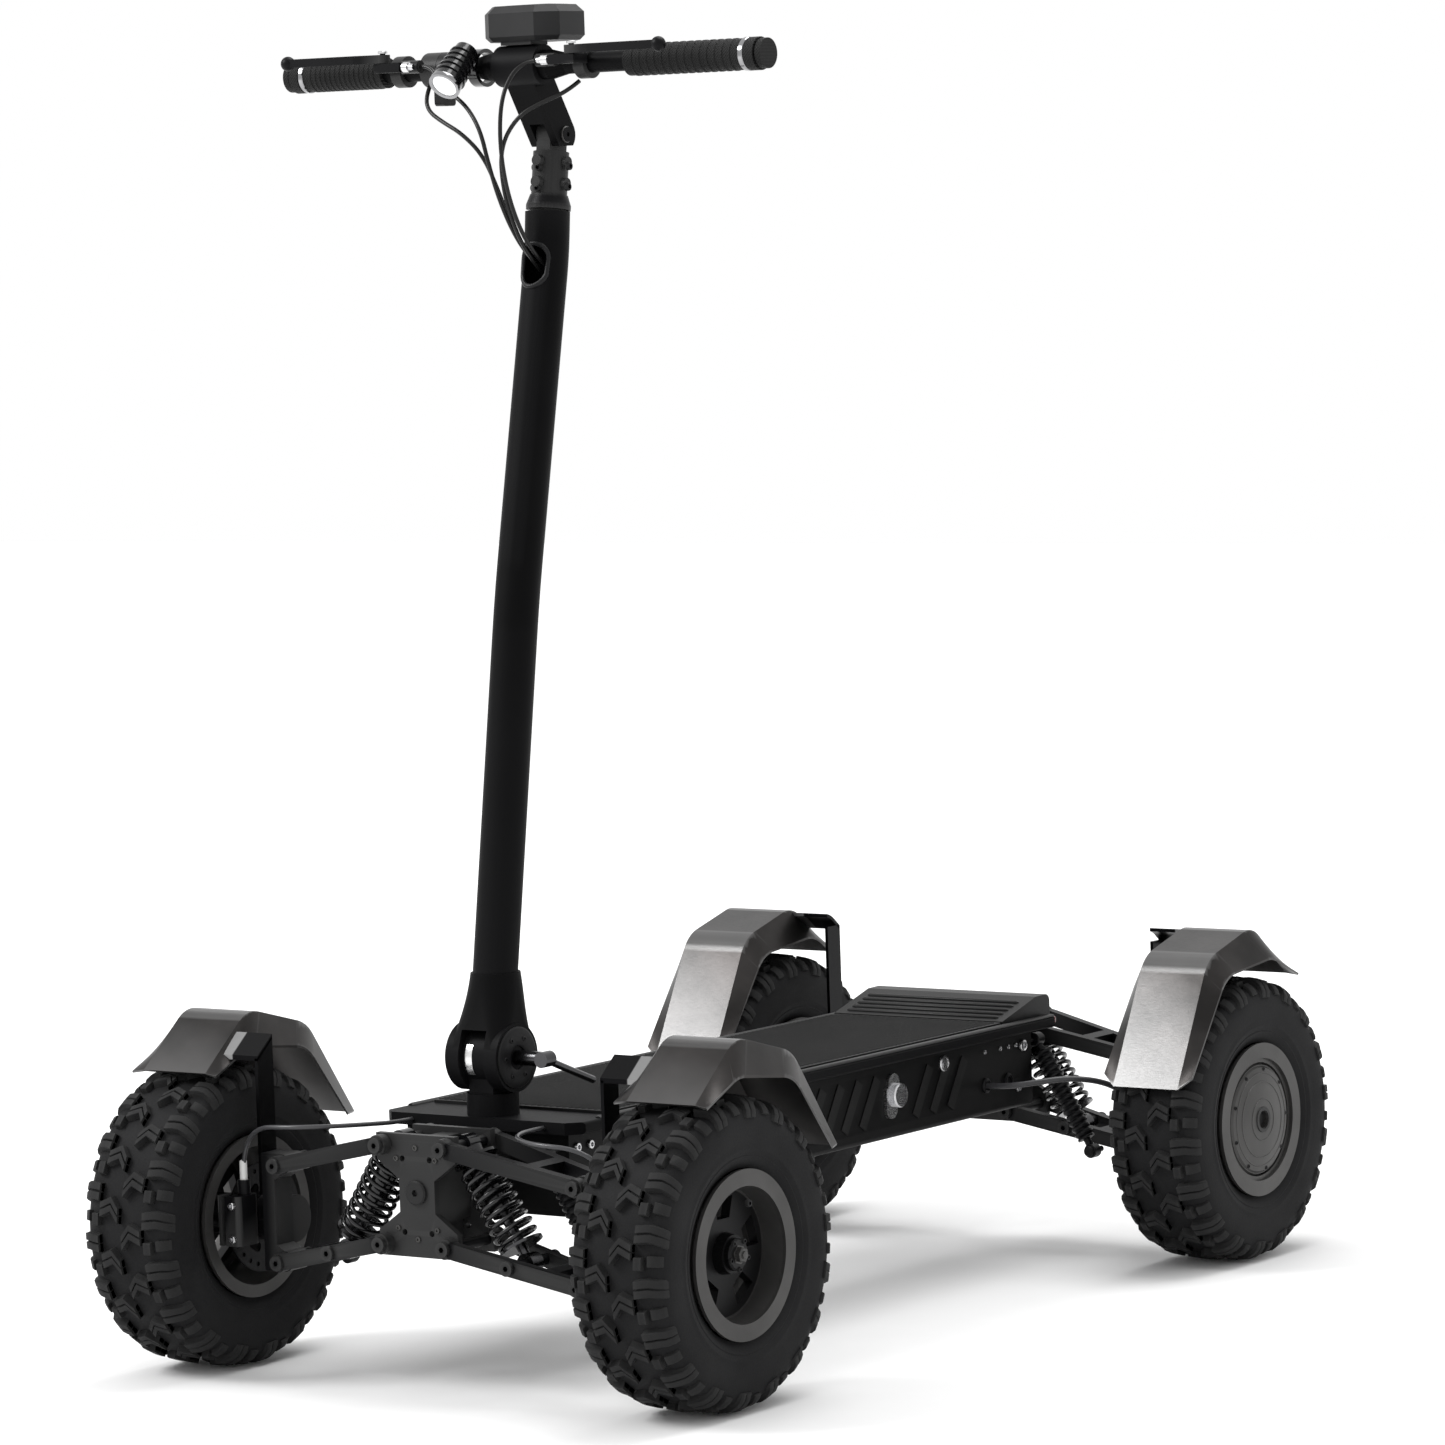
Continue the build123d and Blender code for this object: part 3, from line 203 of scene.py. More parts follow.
ALLOY = finish("alloy_plain", (0.36, 0.36, 0.37), 0.38, metallic=1.0, grain=1200, stretch=(1, 0.1, 1))
SILVER = finish("bright_metal", (0.42, 0.42, 0.43), 0.26, metallic=1.0, grain=1100, bump=0.08,
                painted_edge_highlight=(0.7, 0.7, 0.7))
DISPLAY = finish("display_plastic", (0.012, 0.012, 0.0125), 0.5, specular=0.22, grain=1300, bump=0.25)
PLASTIC = finish("black_plastic", (0.004, 0.004, 0.0045), 0.4, specular=0.2, grain=1500, bump=0.2)
LAMP = finish("lamp_shell", (0.004, 0.004, 0.0045), 0.14, metallic=0.4, specular=0.5, grain=900, bump=0.04,
              coat=0.4)
CABLE = finish("cable_black", (0.004, 0.004, 0.004), 0.34, specular=0.25, grain=900, bump=0.08)
LEAD = finish("lead_grey", (0.03, 0.03, 0.032), 0.3, specular=0.4, grain=900, bump=0.08)
WHITE = finish("ferrule_white", (0.6, 0.6, 0.59), 0.35, specular=0.5, grain=600, bump=0.05)
BRIGHT = finish("chrome", (0.22, 0.22, 0.225), 0.12, metallic=1.0, grain=700, bump=0.02)
SCREEN = finish("screen_glass", (0.002, 0.002, 0.003), 0.06, specular=0.5, grain=200, bump=0.01, coat=0.8)
RED = finish("reflector_red", (0.10, 0.004, 0.004), 0.18, specular=0.6, grain=250, bump=0.3, coat=0.6)
GRIP = knurled("grip_knurl", (0.006, 0.006, 0.006), 0.6)
LENS = white_lens()

SLOT_FINISHES = {
    "tyre_rubber": RUBBER, "rim_satin": SATIN, "black_anodised": ANODISED, "brushed_dark": FENDER,
    "black_gloss": GLOSS, "steel_rod": ROD, "spring_black": SPRING, "black_coat": COAT, "grip_rubber": GRIP,
    "cell_wrap": WRAP, "alloy_plain": ALLOY, "bright_metal": SILVER, "display_plastic": DISPLAY,
    "black_plastic": PLASTIC, "lamp_shell": LAMP, "cable_black": CABLE,
}
NODE_FINISHES = {"deck_mat": MAT, "kick_pad": PAD, "battery_case": CASE}


def rim_finish(node):
    """Satin on a rim's outer ring and black deeper inside; a hub motor's drum is satin all over."""
    material = finish(f"finish_{node}", SATIN_GREY, 0.44, metallic=0.6, specular=0.3, grain=1400, bump=0.1)
    if "rear" in node:
        return material
    tree = material.node_tree
    link = tree.links.new
    place = tree.nodes["Texture Coordinate"]
    centre = middle_of(node)
    apart = tree.nodes.new("ShaderNodeVectorMath")
    apart.operation = "SUBTRACT"
    apart.inputs[1].default_value = centre
    flat = tree.nodes.new("ShaderNodeVectorMath")
    flat.operation = "MULTIPLY"
    flat.inputs[1].default_value = (0, 1, 1)
    reach = tree.nodes.new("ShaderNodeVectorMath")
    reach.operation = "LENGTH"
    link(place.outputs["Object"], apart.inputs[0])
    link(apart.outputs["Vector"], flat.inputs[0])
    link(flat.outputs["Vector"], reach.inputs[0])
    outer = tree.nodes.new("ShaderNodeMapRange")
    outer.inputs["From Min"].default_value = RIM_RING_INNER - RING_BLUR
    outer.inputs["From Max"].default_value = RIM_RING_INNER + RING_BLUR
    link(reach.outputs["Value"], outer.inputs["Value"])
    mix = tree.nodes.new("ShaderNodeMixRGB")
    mix.inputs["Color1"].default_value = (0.006, 0.006, 0.0065, 1)
    shader = tree.nodes["Principled BSDF"]
    link(outer.outputs["Result"], mix.inputs["Fac"])
    link(shader.inputs["Base Color"].links[0].from_socket, mix.inputs["Color2"])
    link(mix.outputs["Color"], shader.inputs["Base Color"])
    return material


def middle_of(node):
    """The middle of a CAD node's box."""
    low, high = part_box(node)
    return (low + high) / 2


def blacken_brackets():
    """The brushed finish turns black on a fender's post and strap, inboard of its flange."""
    tree = FENDER.node_tree
    link = tree.links.new
    place = tree.nodes["Texture Coordinate"]
    parts = tree.nodes.new("ShaderNodeSeparateXYZ")
    link(place.outputs["Object"], parts.inputs["Vector"])
    reach = tree.nodes.new("ShaderNodeMath")
    reach.operation = "ABSOLUTE"
    link(parts.outputs["X"], reach.inputs[0])
    outboard = tree.nodes.new("ShaderNodeMapRange")
    outboard.inputs["From Min"].default_value = FENDER_INBOARD - BRACKET_BLUR
    outboard.inputs["From Max"].default_value = FENDER_INBOARD + BRACKET_BLUR
    link(reach.outputs["Value"], outboard.inputs["Value"])
    mix = tree.nodes.new("ShaderNodeMixRGB")
    mix.inputs["Color1"].default_value = (0.003, 0.003, 0.0035, 1)
    shader = tree.nodes["Principled BSDF"]
    link(outboard.outputs["Result"], mix.inputs["Fac"])
    link(shader.inputs["Base Color"].links[0].from_socket, mix.inputs["Color2"])
    link(mix.outputs["Color"], shader.inputs["Base Color"])


def dress_cad_nodes():
    """Every CAD node that shows takes the finish of its slot, and a few have one of their own."""
    blacken_brackets()
    for name, node in nodes.items():
        for place in node.material_slots:
            slot_name = place.material.name.split(".")[0] if place.material else ""
            place.material = NODE_FINISHES.get(name) or SLOT_FINISHES.get(slot_name) or place.material
        if name.startswith("wheel_rim_"):
            for place in node.material_slots:
                place.material = rim_finish(name)


# ---------------------------------------------------------------- mesh helpers
def piece(name, bm, material, body, crease=38, bend=None, replaces=()):
    """A finished mesh from bm: smooth but for creases, on its body, or left in place on no body when bend is
    given.
    """
    bmesh.ops.remove_doubles(bm, verts=bm.verts, dist=1e-7)
    bmesh.ops.recalc_face_normals(bm, faces=bm.faces)
    for edge in bm.edges:
        edge.smooth = edge.calc_face_angle(0) < radians(crease)
    for face in bm.faces:
        face.smooth = True
    mesh = bpy.data.meshes.new(name)
    bm.to_mesh(mesh)
    bm.free()
    mesh.materials.append(material)
    thing = bpy.data.objects.new(name, mesh)
    bpy.context.scene.collection.objects.link(thing)
    if replaces:
        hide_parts(*replaces)
    if bend:
        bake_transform(thing)
    else:
        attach(thing, body)
    return thing


def strip_faces(bm, rows, close_rows=False, close_columns=False, caps=False):
    """Quads between rows of points."""
    verts = [[bm.verts.new(p) for p in row] for row in rows]
    count, width = len(verts), len(verts[0])
    for i in range(count if close_rows else count - 1):
        for j in range(width if close_columns else width - 1):
            ahead, across = (i + 1) % count, (j + 1) % width
            bm.faces.new((verts[i][j], verts[i][across], verts[ahead][across], verts[ahead][j]))
    if caps:
        bm.faces.new(verts[0])
        bm.faces.new(reversed(verts[-1]))


def axes(along):
    """Two directions square to along."""
    along = Vector(along).normalized()
    first = along.orthogonal().normalized()
    return along, first, along.cross(first)


def turned(bm, start, along, profile, steps=32):
    """A closed turned form on the axis from start: profile is (distance along, radius) pairs."""
    along, first, second = axes(along)
    rings = []
    for distance, radius in profile:
        centre = Vector(start) + along * distance
        turn = [2 * pi * k / steps for k in range(steps)]
        rings.append([centre + (first * cos(t) + second * sin(t)) * max(radius, 1e-5) for t in turn])
    strip_faces(bm, rows=rings, close_columns=True, caps=True)


def ring(bm, start, along, profile, steps=64):
    """A closed ring: profile is a loop of (distance along, radius) pairs."""
    along, first, second = axes(along)
    rings = []
    for distance, radius in profile:
        centre = Vector(start) + along * distance
        turn = [2 * pi * k / steps for k in range(steps)]
        rings.append([centre + (first * cos(t) + second * sin(t)) * radius for t in turn])
    strip_faces(bm, rows=rings, close_rows=True, close_columns=True)


def socket_bolt(bm, seat, out, radius, height):
    """A round head with a rounded edge and a hexagon socket, standing on its seat."""
    turned(bm, seat, out, [
        (-0.3 * height, radius), (0.6 * height, radius), (0.9 * height, 0.9 * radius), (height, 0.72 * radius),
        (height, 0.5 * radius), (0.35 * height, 0.46 * radius), (0.35 * height, 0),
    ], steps=12)


def hex_nut(bm, seat, out, radius, height):
    """A chamfered six-sided nut on a washer with a stud through it."""
    turned(bm, seat, out, [
        (0, 1.25 * radius), (0.15 * height, 1.25 * radius), (0.16 * height, radius), (0.85 * height, radius),
        (height, 0.86 * radius), (height, 0.55 * radius), (1.2 * height, 0.5 * radius), (1.25 * height, 0),
    ], steps=6)


def tube_along(bm, points, radius, steps=10):
    """A round tube along straight runs between points, with closed ends."""
    rows = []
    points = [Vector(p) for p in points]
    _, side, _ = axes(points[1] - points[0])
    for i, point in enumerate(points):
        ahead = (points[min(i + 1, len(points) - 1)] - points[max(i - 1, 0)]).normalized()
        side = (side - ahead * side.dot(ahead)).normalized()
        other = ahead.cross(side)
        turn = [2 * pi * k / steps for k in range(steps)]
        rows.append([point + (side * cos(t) + other * sin(t)) * radius for t in turn])
    strip_faces(bm, rows=rows, close_columns=True, caps=True)


def surface_at(node, above, toward):
    """Where a line from above, going toward, first meets a CAD node, and the surface's direction there."""
    hit, place, normal, _ = nodes[node].ray_cast(Vector(above), Vector(toward).normalized())
    return (place, normal) if hit else (Vector(above), -Vector(toward).normalized())


# ---------------------------------------------------------------- tyres
crown_radius = 157.5 * MM          # carcass at the middle of the tread
shoulder_start = 42 * MM           # where the tread begins to turn down, from the tyre's middle
shoulder_radius = 16 * MM
lug_height = 7.4 * MM
lug_count = 18
shoulder_drop = 2.5 * MM


def tread_place(s, turn, height, centre, side):
    """A point on the tread: s across it, turn around the wheel, height above the carcass."""
    reach = abs(s)
    sign = 1 if s >= 0 else -1
    if reach <= shoulder_start:
        x = reach
        radius = crown_radius - shoulder_drop * (reach / shoulder_start) ** 2
        lean = 0.0
    else:
        lean = min((reach - shoulder_start) / shoulder_radius, radians(96))
        x = shoulder_start + shoulder_radius * sin(lean)
        radius = crown_radius - shoulder_drop - shoulder_radius * (1 - cos(lean))
    fade = 1 - 0.8 * min(1, max(0, (reach - shoulder_start) / (1.5 * shoulder_radius)))
    lifted = height * fade
    x += lifted * sin(lean)
    radius += lifted * cos(lean)
    return centre + Vector((side * sign * x, radius * sin(turn), radius * cos(turn)))


def lug(bm, route, half_width, height, centre, side, phase):
    """One bar of rubber along route, a list of (across, along) places in metres, with chamfered edges."""
    sections = [(-1.12, -0.4), (-1.0, 0.86), (-0.84, 1.0), (0.84, 1.0), (1.0, 0.86), (1.12, -0.4)]
    parts = 3
    line = []
    for (s0, a0), (s1, a1) in zip(route, route[1:]):
        line += [(s0 + (s1 - s0) * k / parts, a0 + (a1 - a0) * k / parts) for k in range(parts)]
    line.append(route[-1])
    rows = []
    for s, a in line:
        rows.append([
            tread_place(s, phase + (a + half_width * w) / crown_radius, height * h, centre, side)
            for w, h in sections
        ])
    strip_faces(bm, rows=rows, close_columns=True, caps=True)


def split_lug(bm, route, half_width, height, centre, side, phase):
    """A bar with a narrow slit down its middle."""
    lug(bm, route, half_width, height * 0.6, centre, side, phase)
    for shift in (-1, 1):
        half = [(s, a + shift * half_width * 0.52) for s, a in route]
        lug(bm, half, half_width * 0.44, height, centre, side, phase)


def tyre(corner):
    """Carcass, chevron tread and sidewall rings in place of the plain CAD tyre."""
    side, _ = CORNERS[corner]
    centre = middle_of(f"tyre_{corner}")
    bm = bmesh.new()
    half = [(0, 157.4), (25, 156.4), (40, 155), (48, 153.5), (54, 149), (57.2, 142), (58.2, 134), (58.4, 126),
            (58.2, 117), (57.6, 111), (57.9, 109.5), (57.5, 108), (55.5, 103), (55.9, 101.5), (55.2, 100),
            (53, 95.5), (50.5, 92), (49, 89.2)]
    outline = [(x * MM, r * MM) for x, r in half] + [(-x * MM, r * MM) for x, r in reversed(half[1:])]
    ring(bm, centre, (1, 0, 0), outline, steps=120)
    for k in range(lug_count):
        for hand in (1, -1):
            phase = 2 * pi * (k + (0.5 if hand < 0 else 0)) / lug_count
            chevron = [(hand * s * MM, a * MM) for s, a in ((2.5, -9), (13, 3), (28, -3))]
            split_lug(bm, chevron, 8.2 * MM, lug_height, centre, side, phase)
            shoulder = [(hand * s * MM, a * MM) for s, a in ((31, 15), (46, 17), (65, 13))]
            split_lug(bm, shoulder, 9.5 * MM, lug_height, centre, side, phase)
            notch = [(hand * s * MM, a * MM) for s, a in ((45, -11), (60, -11))]
            lug(bm, notch, 5.5 * MM, lug_height * 0.7, centre, side, phase)
            block = [(hand * s * MM, a * MM) for s, a in ((31, -14), (40, -14))]
            lug(bm, block, 6.5 * MM, lug_height * 0.9, centre, side, phase)
    piece(f"tyre_tread_{corner}", bm, RUBBER, f"wheel_{corner}", crease=32,
          replaces=[f"tyre_{corner}"])


# ---------------------------------------------------------------- wheels
def front_wheel_details(corner):
    """The disc bolts in two rings of five and the nut on the hub cap; the inner disc's dark ring is in the
    rim's finish.
    """
    side, _ = CORNERS[corner]
    centre = middle_of(f"tyre_{corner}")
    out = Vector((side, 0, 0))
    bolts = bmesh.new()
    for k in range(5):
        turn = 2 * pi * (k + 0.5) / 5
        place = centre + Vector((side * 60 * MM, 15.5 * MM * sin(turn), 15.5 * MM * cos(turn)))
        seat, _ = surface_at(f"wheel_rim_{corner}", place, -out)
        socket_bolt(bolts, seat, out, 3 * MM, 2.2 * MM)
    for k in range(5):
        turn = 2 * pi * k / 5
        place = centre + Vector((side * 60 * MM, 54 * MM * sin(turn), 54 * MM * cos(turn)))
        seat, _ = surface_at(f"wheel_rim_{corner}", place, -out)
        socket_bolt(bolts, seat, out, 4 * MM, 3 * MM)
    piece(f"disc_bolts_{corner}", bolts, ANODISED, f"wheel_{corner}")
    nut = bmesh.new()
    seat, _ = surface_at(f"wheel_rim_{corner}", centre + out * 70 * MM, -out)
    hex_nut(nut, seat - out * 0.5 * MM, out, 8.5 * MM, 7 * MM)
    piece(f"axle_nut_{corner}", nut, SATIN, f"wheel_{corner}")


def rear_wheel_details(corner):
    """Ridges, screws and the axle's dark bush on the motor drum."""
    side, _ = CORNERS[corner]
    centre = middle_of(f"tyre_{corner}")
    out = Vector((side, 0, 0))
    rings = bmesh.new()
    for radius in (62.5, 54, 44, 24):
        place = centre + Vector((side * 70 * MM, 0, radius * MM))
        seat, _ = surface_at(f"wheel_rim_{corner}", place, -out)
        at = (seat - centre).dot(out)
        half = 0.9
        ring(rings, centre + out * at, out, [
            (-0.4 * MM, (radius - half) * MM), (0.5 * MM, (radius - 0.5 * half) * MM),
            (0.5 * MM, (radius + 0.5 * half) * MM), (-0.4 * MM, (radius + half) * MM),
        ], steps=96)
    piece(f"drum_ridges_{corner}", rings, SATIN, f"wheel_{corner}")
    screws = bmesh.new()
    for k in range(9):
        turn = 2 * pi * (k + 0.25) / 9
        place = centre + Vector((side * 70 * MM, 58.5 * MM * sin(turn), 58.5 * MM * cos(turn)))
        seat, normal = surface_at(f"wheel_rim_{corner}", place, -out)
        socket_bolt(screws, seat, normal, 2.4 * MM, 1.0 * MM)
    piece(f"drum_screws_{corner}", screws, ANODISED, f"wheel_{corner}")
    bush = bmesh.new()
    place = centre + Vector((side * 70 * MM, 0, 15 * MM))
    seat, _ = surface_at(f"wheel_rim_{corner}", place, -out)
    at = centre + out * (seat - centre).dot(out)
    ring(bush, at, out, [(-1.5 * MM, 10.6 * MM), (1.2 * MM, 10.8 * MM), (1.2 * MM, 14.6 * MM),
                         (-0.6 * MM, 15.4 * MM)], steps=48)
    piece(f"drum_bush_{corner}", bush, ANODISED, f"wheel_{corner}")


# ---------------------------------------------------------------- suspension
strut_top = (98 * MM, 38 * MM, 250 * MM)        # across, toward the deck from the axle, up
strut_foot = (172 * MM, 38 * MM, 122 * MM)


def strut(corner):
    """The ribbed rubber boot between the chassis and the lower arm, with an eye at each end."""
    side, end = CORNERS[corner]
    axle_y = middle_of(f"tyre_{corner}").y
    top = Vector((side * strut_top[0], axle_y - end * strut_top[1], strut_top[2]))
    foot = Vector((side * strut_foot[0], axle_y - end * strut_foot[1], strut_foot[2]))
    length = (foot - top).length
    bm = bmesh.new()
    profile = [(0, 0), (0, 4.5 * MM), (14 * MM, 4.5 * MM), (14.5 * MM, 9 * MM)]
    ribs = 15
    boot = length - 34 * MM
    for k in range(ribs):
        at = 15 * MM + boot * k / ribs
        step = boot / ribs
        profile += [(at, 9 * MM), (at + 0.3 * step, 11.4 * MM), (at + 0.6 * step, 11.4 * MM),
                    (at + 0.9 * step, 9 * MM)]
    profile += [(length - 18 * MM, 10.5 * MM), (length - 16 * MM, 10.5 * MM), (length - 15.5 * MM, 4.5 * MM),
                (length, 4.5 * MM), (length, 0)]
    turned(bm, top, foot - top, profile, steps=28)
    for eye in (top, foot):
        turned(bm, eye - Vector((0, 7 * MM, 0)), (0, 1, 0), [
            (0, 0), (0, 7 * MM), (1 * MM, 8.2 * MM), (13 * MM, 8.2 * MM), (14 * MM, 7 * MM), (14 * MM, 0),
        ], steps=24)
    piece(f"boot_strut_{corner}", bm, PLASTIC, None,
          bend=(("chassis", f"lower_arm_{corner}"), top, foot))


def spring(corner):
    """The coil spring, in the CAD node's own shape."""
    side, _ = CORNERS[corner]
    middle_y = middle_of(f"shock_spring_{corner}").y
    bm = bmesh.new()
    bm.from_mesh(nodes[f"shock_spring_{corner}"].data)
    top = Vector((side * SHOCK_TOP[0], middle_y, SHOCK_TOP[1]))
    foot = Vector((side * SHOCK_FOOT[0], middle_y, SHOCK_FOOT[1]))
    piece(f"coil_spring_{corner}", bm, SPRING, None,
          bend=(("chassis", f"lower_arm_{corner}"), top, foot), replaces=[f"shock_spring_{corner}"])


def pin_to(corner):
    """The bolts that hold the strut's eyes to the deck's bracket and to the lower arm."""
    side, end = CORNERS[corner]
    axle_y = middle_of(f"tyre_{corner}").y
    toward_deck = Vector((0, -end, 0))
    top = Vector((side * strut_top[0], axle_y - end * strut_top[1], strut_top[2]))
    foot = Vector((side * strut_foot[0], axle_y - end * strut_foot[1], strut_foot[2]))
    for name, eye, body, way in (("strut_pin", top, "chassis", toward_deck),
                                 ("strut_foot", foot, f"lower_arm_{corner}", -toward_deck)):
        bm = bmesh.new()
        turned(bm, eye - way * 11 * MM, way, [
            (0, 0), (0, 5.2 * MM), (1 * MM, 6.2 * MM), (4 * MM, 6.2 * MM), (4.2 * MM, 3.4 * MM),
            (30 * MM, 3.4 * MM), (30 * MM, 0),
        ], steps=20)
        piece(f"{name}_{corner}", bm, ANODISED, body)


def bulkhead_screws(end):
    """Small screws on the outer face of a suspension bulkhead."""
    low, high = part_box("bulkheads")
    y = low.y if end < 0 else high.y
    bm = bmesh.new()
    for x, z in ((-26, 250), (26, 250), (-26, 176), (26, 176), (0, 262), (0, 165), (-30, 214), (30, 214)):
        above = (x * MM, y + end * 0.05, z * MM)
        seat, normal = surface_at("bulkheads", above, (0, -end, 0))
        if abs(seat.y - y) < 12 * MM:
            socket_bolt(bm, seat, (0, end, 0), 3.2 * MM, 1.6 * MM)
    piece(f"bulkhead_screws_{'front' if end < 0 else 'rear'}", bm, SATIN, "chassis")


def caliper_fittings(side_name, side):
    """The banjo bolt and white ferrule where the hose meets the caliper."""
    axle_y = middle_of(f"tyre_front_{side_name}").y
    bm = bmesh.new()
    foot = Vector((side * 246.5 * MM, axle_y - 46 * MM, 206 * MM))
    turned(bm, foot, (0, 0, 1), [(0, 0), (0, 5.4 * MM), (5 * MM, 5.4 * MM), (5.5 * MM, 4.2 * MM),
                                 (26 * MM, 4 * MM), (27 * MM, 3.2 * MM), (27 * MM, 0)], steps=24)
    piece(f"hose_ferrule_{side_name}", bm, WHITE, f"knuckle_front_{side_name}")
    bolt = bmesh.new()
    for z in (150, 186):
        above = Vector((side * 246.5 * MM, axle_y - 150 * MM, z * MM))
        seat, _ = surface_at(f"knuckle_front_{side_name}", above, (0, 1, 0))
        socket_bolt(bolt, seat, (0, -1, 0), 4.4 * MM, 3.6 * MM)
    piece(f"caliper_bolt_{side_name}", bolt, SILVER, f"knuckle_front_{side_name}")


# ---------------------------------------------------------------- deck and side box
def mat_ribs():
    """Fine slanted ribs all over the deck mat."""
    low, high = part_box("deck_mat")
    edge = 5 * MM
    x0, x1, y0, y1 = low.x + edge, high.x - edge, low.y + edge, high.y - edge
    pitch, half, rise = 8.4 * MM, 1.3 * MM, 0.9 * MM
    bm = bmesh.new()
    count = int(((x1 - x0) + (y1 - y0)) / pitch)
    for k in range(1, count):
        # A rib follows y = start + (x - x0), cut off at the mat's edges.
        start = y0 - (x1 - x0) + k * pitch
        xa = max(x0, x0 + (y0 - start))
        xb = min(x1, x0 + (y1 - start))
        if xb - xa < 4 * MM:
            continue
        a = Vector((xa, start + xa - x0, high.z))
        b = Vector((xb, start + xb - x0, high.z))
        across = Vector((-1, 1, 0)).normalized()
        rows = []
        for point in (a, b):
            rows.append([point + across * half - Vector((0, 0, 0.3 * MM)), point + across * half * 0.5
                         + Vector((0, 0, rise)), point - across * half * 0.5 + Vector((0, 0, rise)),
                         point - across * half - Vector((0, 0, 0.3 * MM))])
        strip_faces(bm, rows=rows, close_columns=True, caps=True)
    piece("mat_ribs", bm, MAT, "chassis")


def deck_rails():
    """The rounded rail along each long side of the deck."""
    low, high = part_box("deck_plate")
    for name, side in LEVER_SIDES.items():
        x = side * (high.x - 6 * MM)
        bm = bmesh.new()
        rows = []
        for y in (low.y + 46 * MM, low.y + 50 * MM, high.y - 16 * MM, high.y - 12 * MM):
            ends = y in (low.y + 46 * MM, high.y - 12 * MM)
            radius = 3.4 * MM if ends else 5.2 * MM
            rows.append([Vector((x + radius * cos(t), y, high.z + 0.5 * radius * sin(t)))
                         for t in [2 * pi * k / 12 for k in range(12)]])
        strip_faces(bm, rows=rows, close_columns=True, caps=True)
        piece(f"deck_rail_{name}", bm, PAD, "chassis")


def kick_pad_ribs():
    """Five rounded ribs across the kick pad's slope."""
    low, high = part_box("kick_pad")
    bm = bmesh.new()
    rib_half = high.x - 12 * MM
    for k in range(5):
        y = low.y + 10 * MM + k * 11 * MM
        seat, normal = surface_at("kick_pad", (0, y, high.z + 0.05), (0, 0, -1))
        rows = []
        for x, size in ((-rib_half, 0.4), (-rib_half + 3 * MM, 1), (rib_half - 3 * MM, 1), (rib_half, 0.4)):
            centre = Vector((x, seat.y, seat.z))
            rows.append([centre + Vector((0, 2.6 * MM * size * cos(t), 2.4 * MM * size * sin(t)))
                         for t in [2 * pi * j / 12 for j in range(12)]])
        strip_faces(bm, rows=rows, close_columns=True, caps=True)
    piece("kick_pad_ribs", bm, PAD, "chassis")


def side_fittings():
    """The power button, bolts, cable grommets and small screws on the sides of the case."""
    face = CASE_FACE
    button = bmesh.new()
    seat = Vector((face, 265 * MM, 249 * MM))
    turned(button, seat, (1, 0, 0), [(-1 * MM, 9 * MM), (2 * MM, 9 * MM), (3 * MM, 8 * MM), (3 * MM, 6.4 * MM),
                                     (4.2 * MM, 6 * MM), (4.6 * MM, 4.5 * MM), (4.6 * MM, 0)], steps=32)
    piece("power_button", button, SILVER, "chassis")
    bolts = bmesh.new()
    for side in (1, -1):
        for y, z, radius in ((433, 249, 7), (-438, 250, 5), (-415, 250, 5), (420, 200, 4)):
            socket_bolt(bolts, Vector((side * face, y * MM, z * MM)), (side, 0, 0), radius * MM, 3.4 * MM)
        for y in (352, 385, 402, 418):
            socket_bolt(bolts, Vector((side * face, y * MM, 251 * MM)), (side, 0, 0), 2.6 * MM, 1.6 * MM)
    piece("case_bolts", bolts, SILVER, "chassis")
    grommets = bmesh.new()
    for side in (1, -1):
        for y, z in ((352, 212), (399, 212)):
            ring(grommets, Vector((side * face, y * MM, z * MM)), (side, 0, 0), [
                (-1 * MM, 4.6 * MM), (3 * MM, 4.8 * MM), (3.6 * MM, 6.4 * MM), (2.4 * MM, 8.8 * MM),
                (-1 * MM, 9 * MM)], steps=32)
            turned(grommets, Vector((side * face, y * MM, z * MM)), (side, 0, 0),
                   [(-1 * MM, 0), (-1 * MM, 5 * MM), (1 * MM, 5 * MM), (1 * MM, 0)], steps=24)
    piece("cable_grommets", grommets, PLASTIC, "chassis")


def tail_reflectors():
    """A small red reflector at each rear corner of the deck."""
    low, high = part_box("deck_plate")
    for name, side in LEVER_SIDES.items():
        bm = bmesh.new()
        seat = Vector((side * (high.x - 26 * MM), high.y, high.z - 6.5 * MM))
        rows = []
        for x, size in ((-16, 0.7), (-14.5, 1), (14.5, 1), (16, 0.7)):
            rows.append([seat + Vector((x * MM, 1.6 * MM + 1.8 * MM * size * cos(t), 4.6 * MM * size * sin(t)))
                         for t in [2 * pi * j / 12 for j in range(12)]])
        strip_faces(bm, rows=rows, close_columns=True, caps=True)
        piece(f"tail_reflector_{name}", bm, RED, "chassis")


# ---------------------------------------------------------------- stem


def latch_strip():
    """The silver latch that shows in the slot of the fold housing."""
    bm = bmesh.new()
    rows = []
    for k in range(9):
        turn = radians(150 + k * 8)
        inner, outer = 30.1 * MM, 30.7 * MM
        way = Vector((0, cos(turn), sin(turn)))
        rows.append([FOLD_AXIS + way * radius + Vector((x * MM, 0, 0))
                     for x, radius in ((-12, inner), (-12, outer), (-3, outer), (-3, inner))])
    strip_faces(bm, rows=rows, close_columns=True, caps=True)
    piece("fold_latch", bm, SILVER, "chassis")


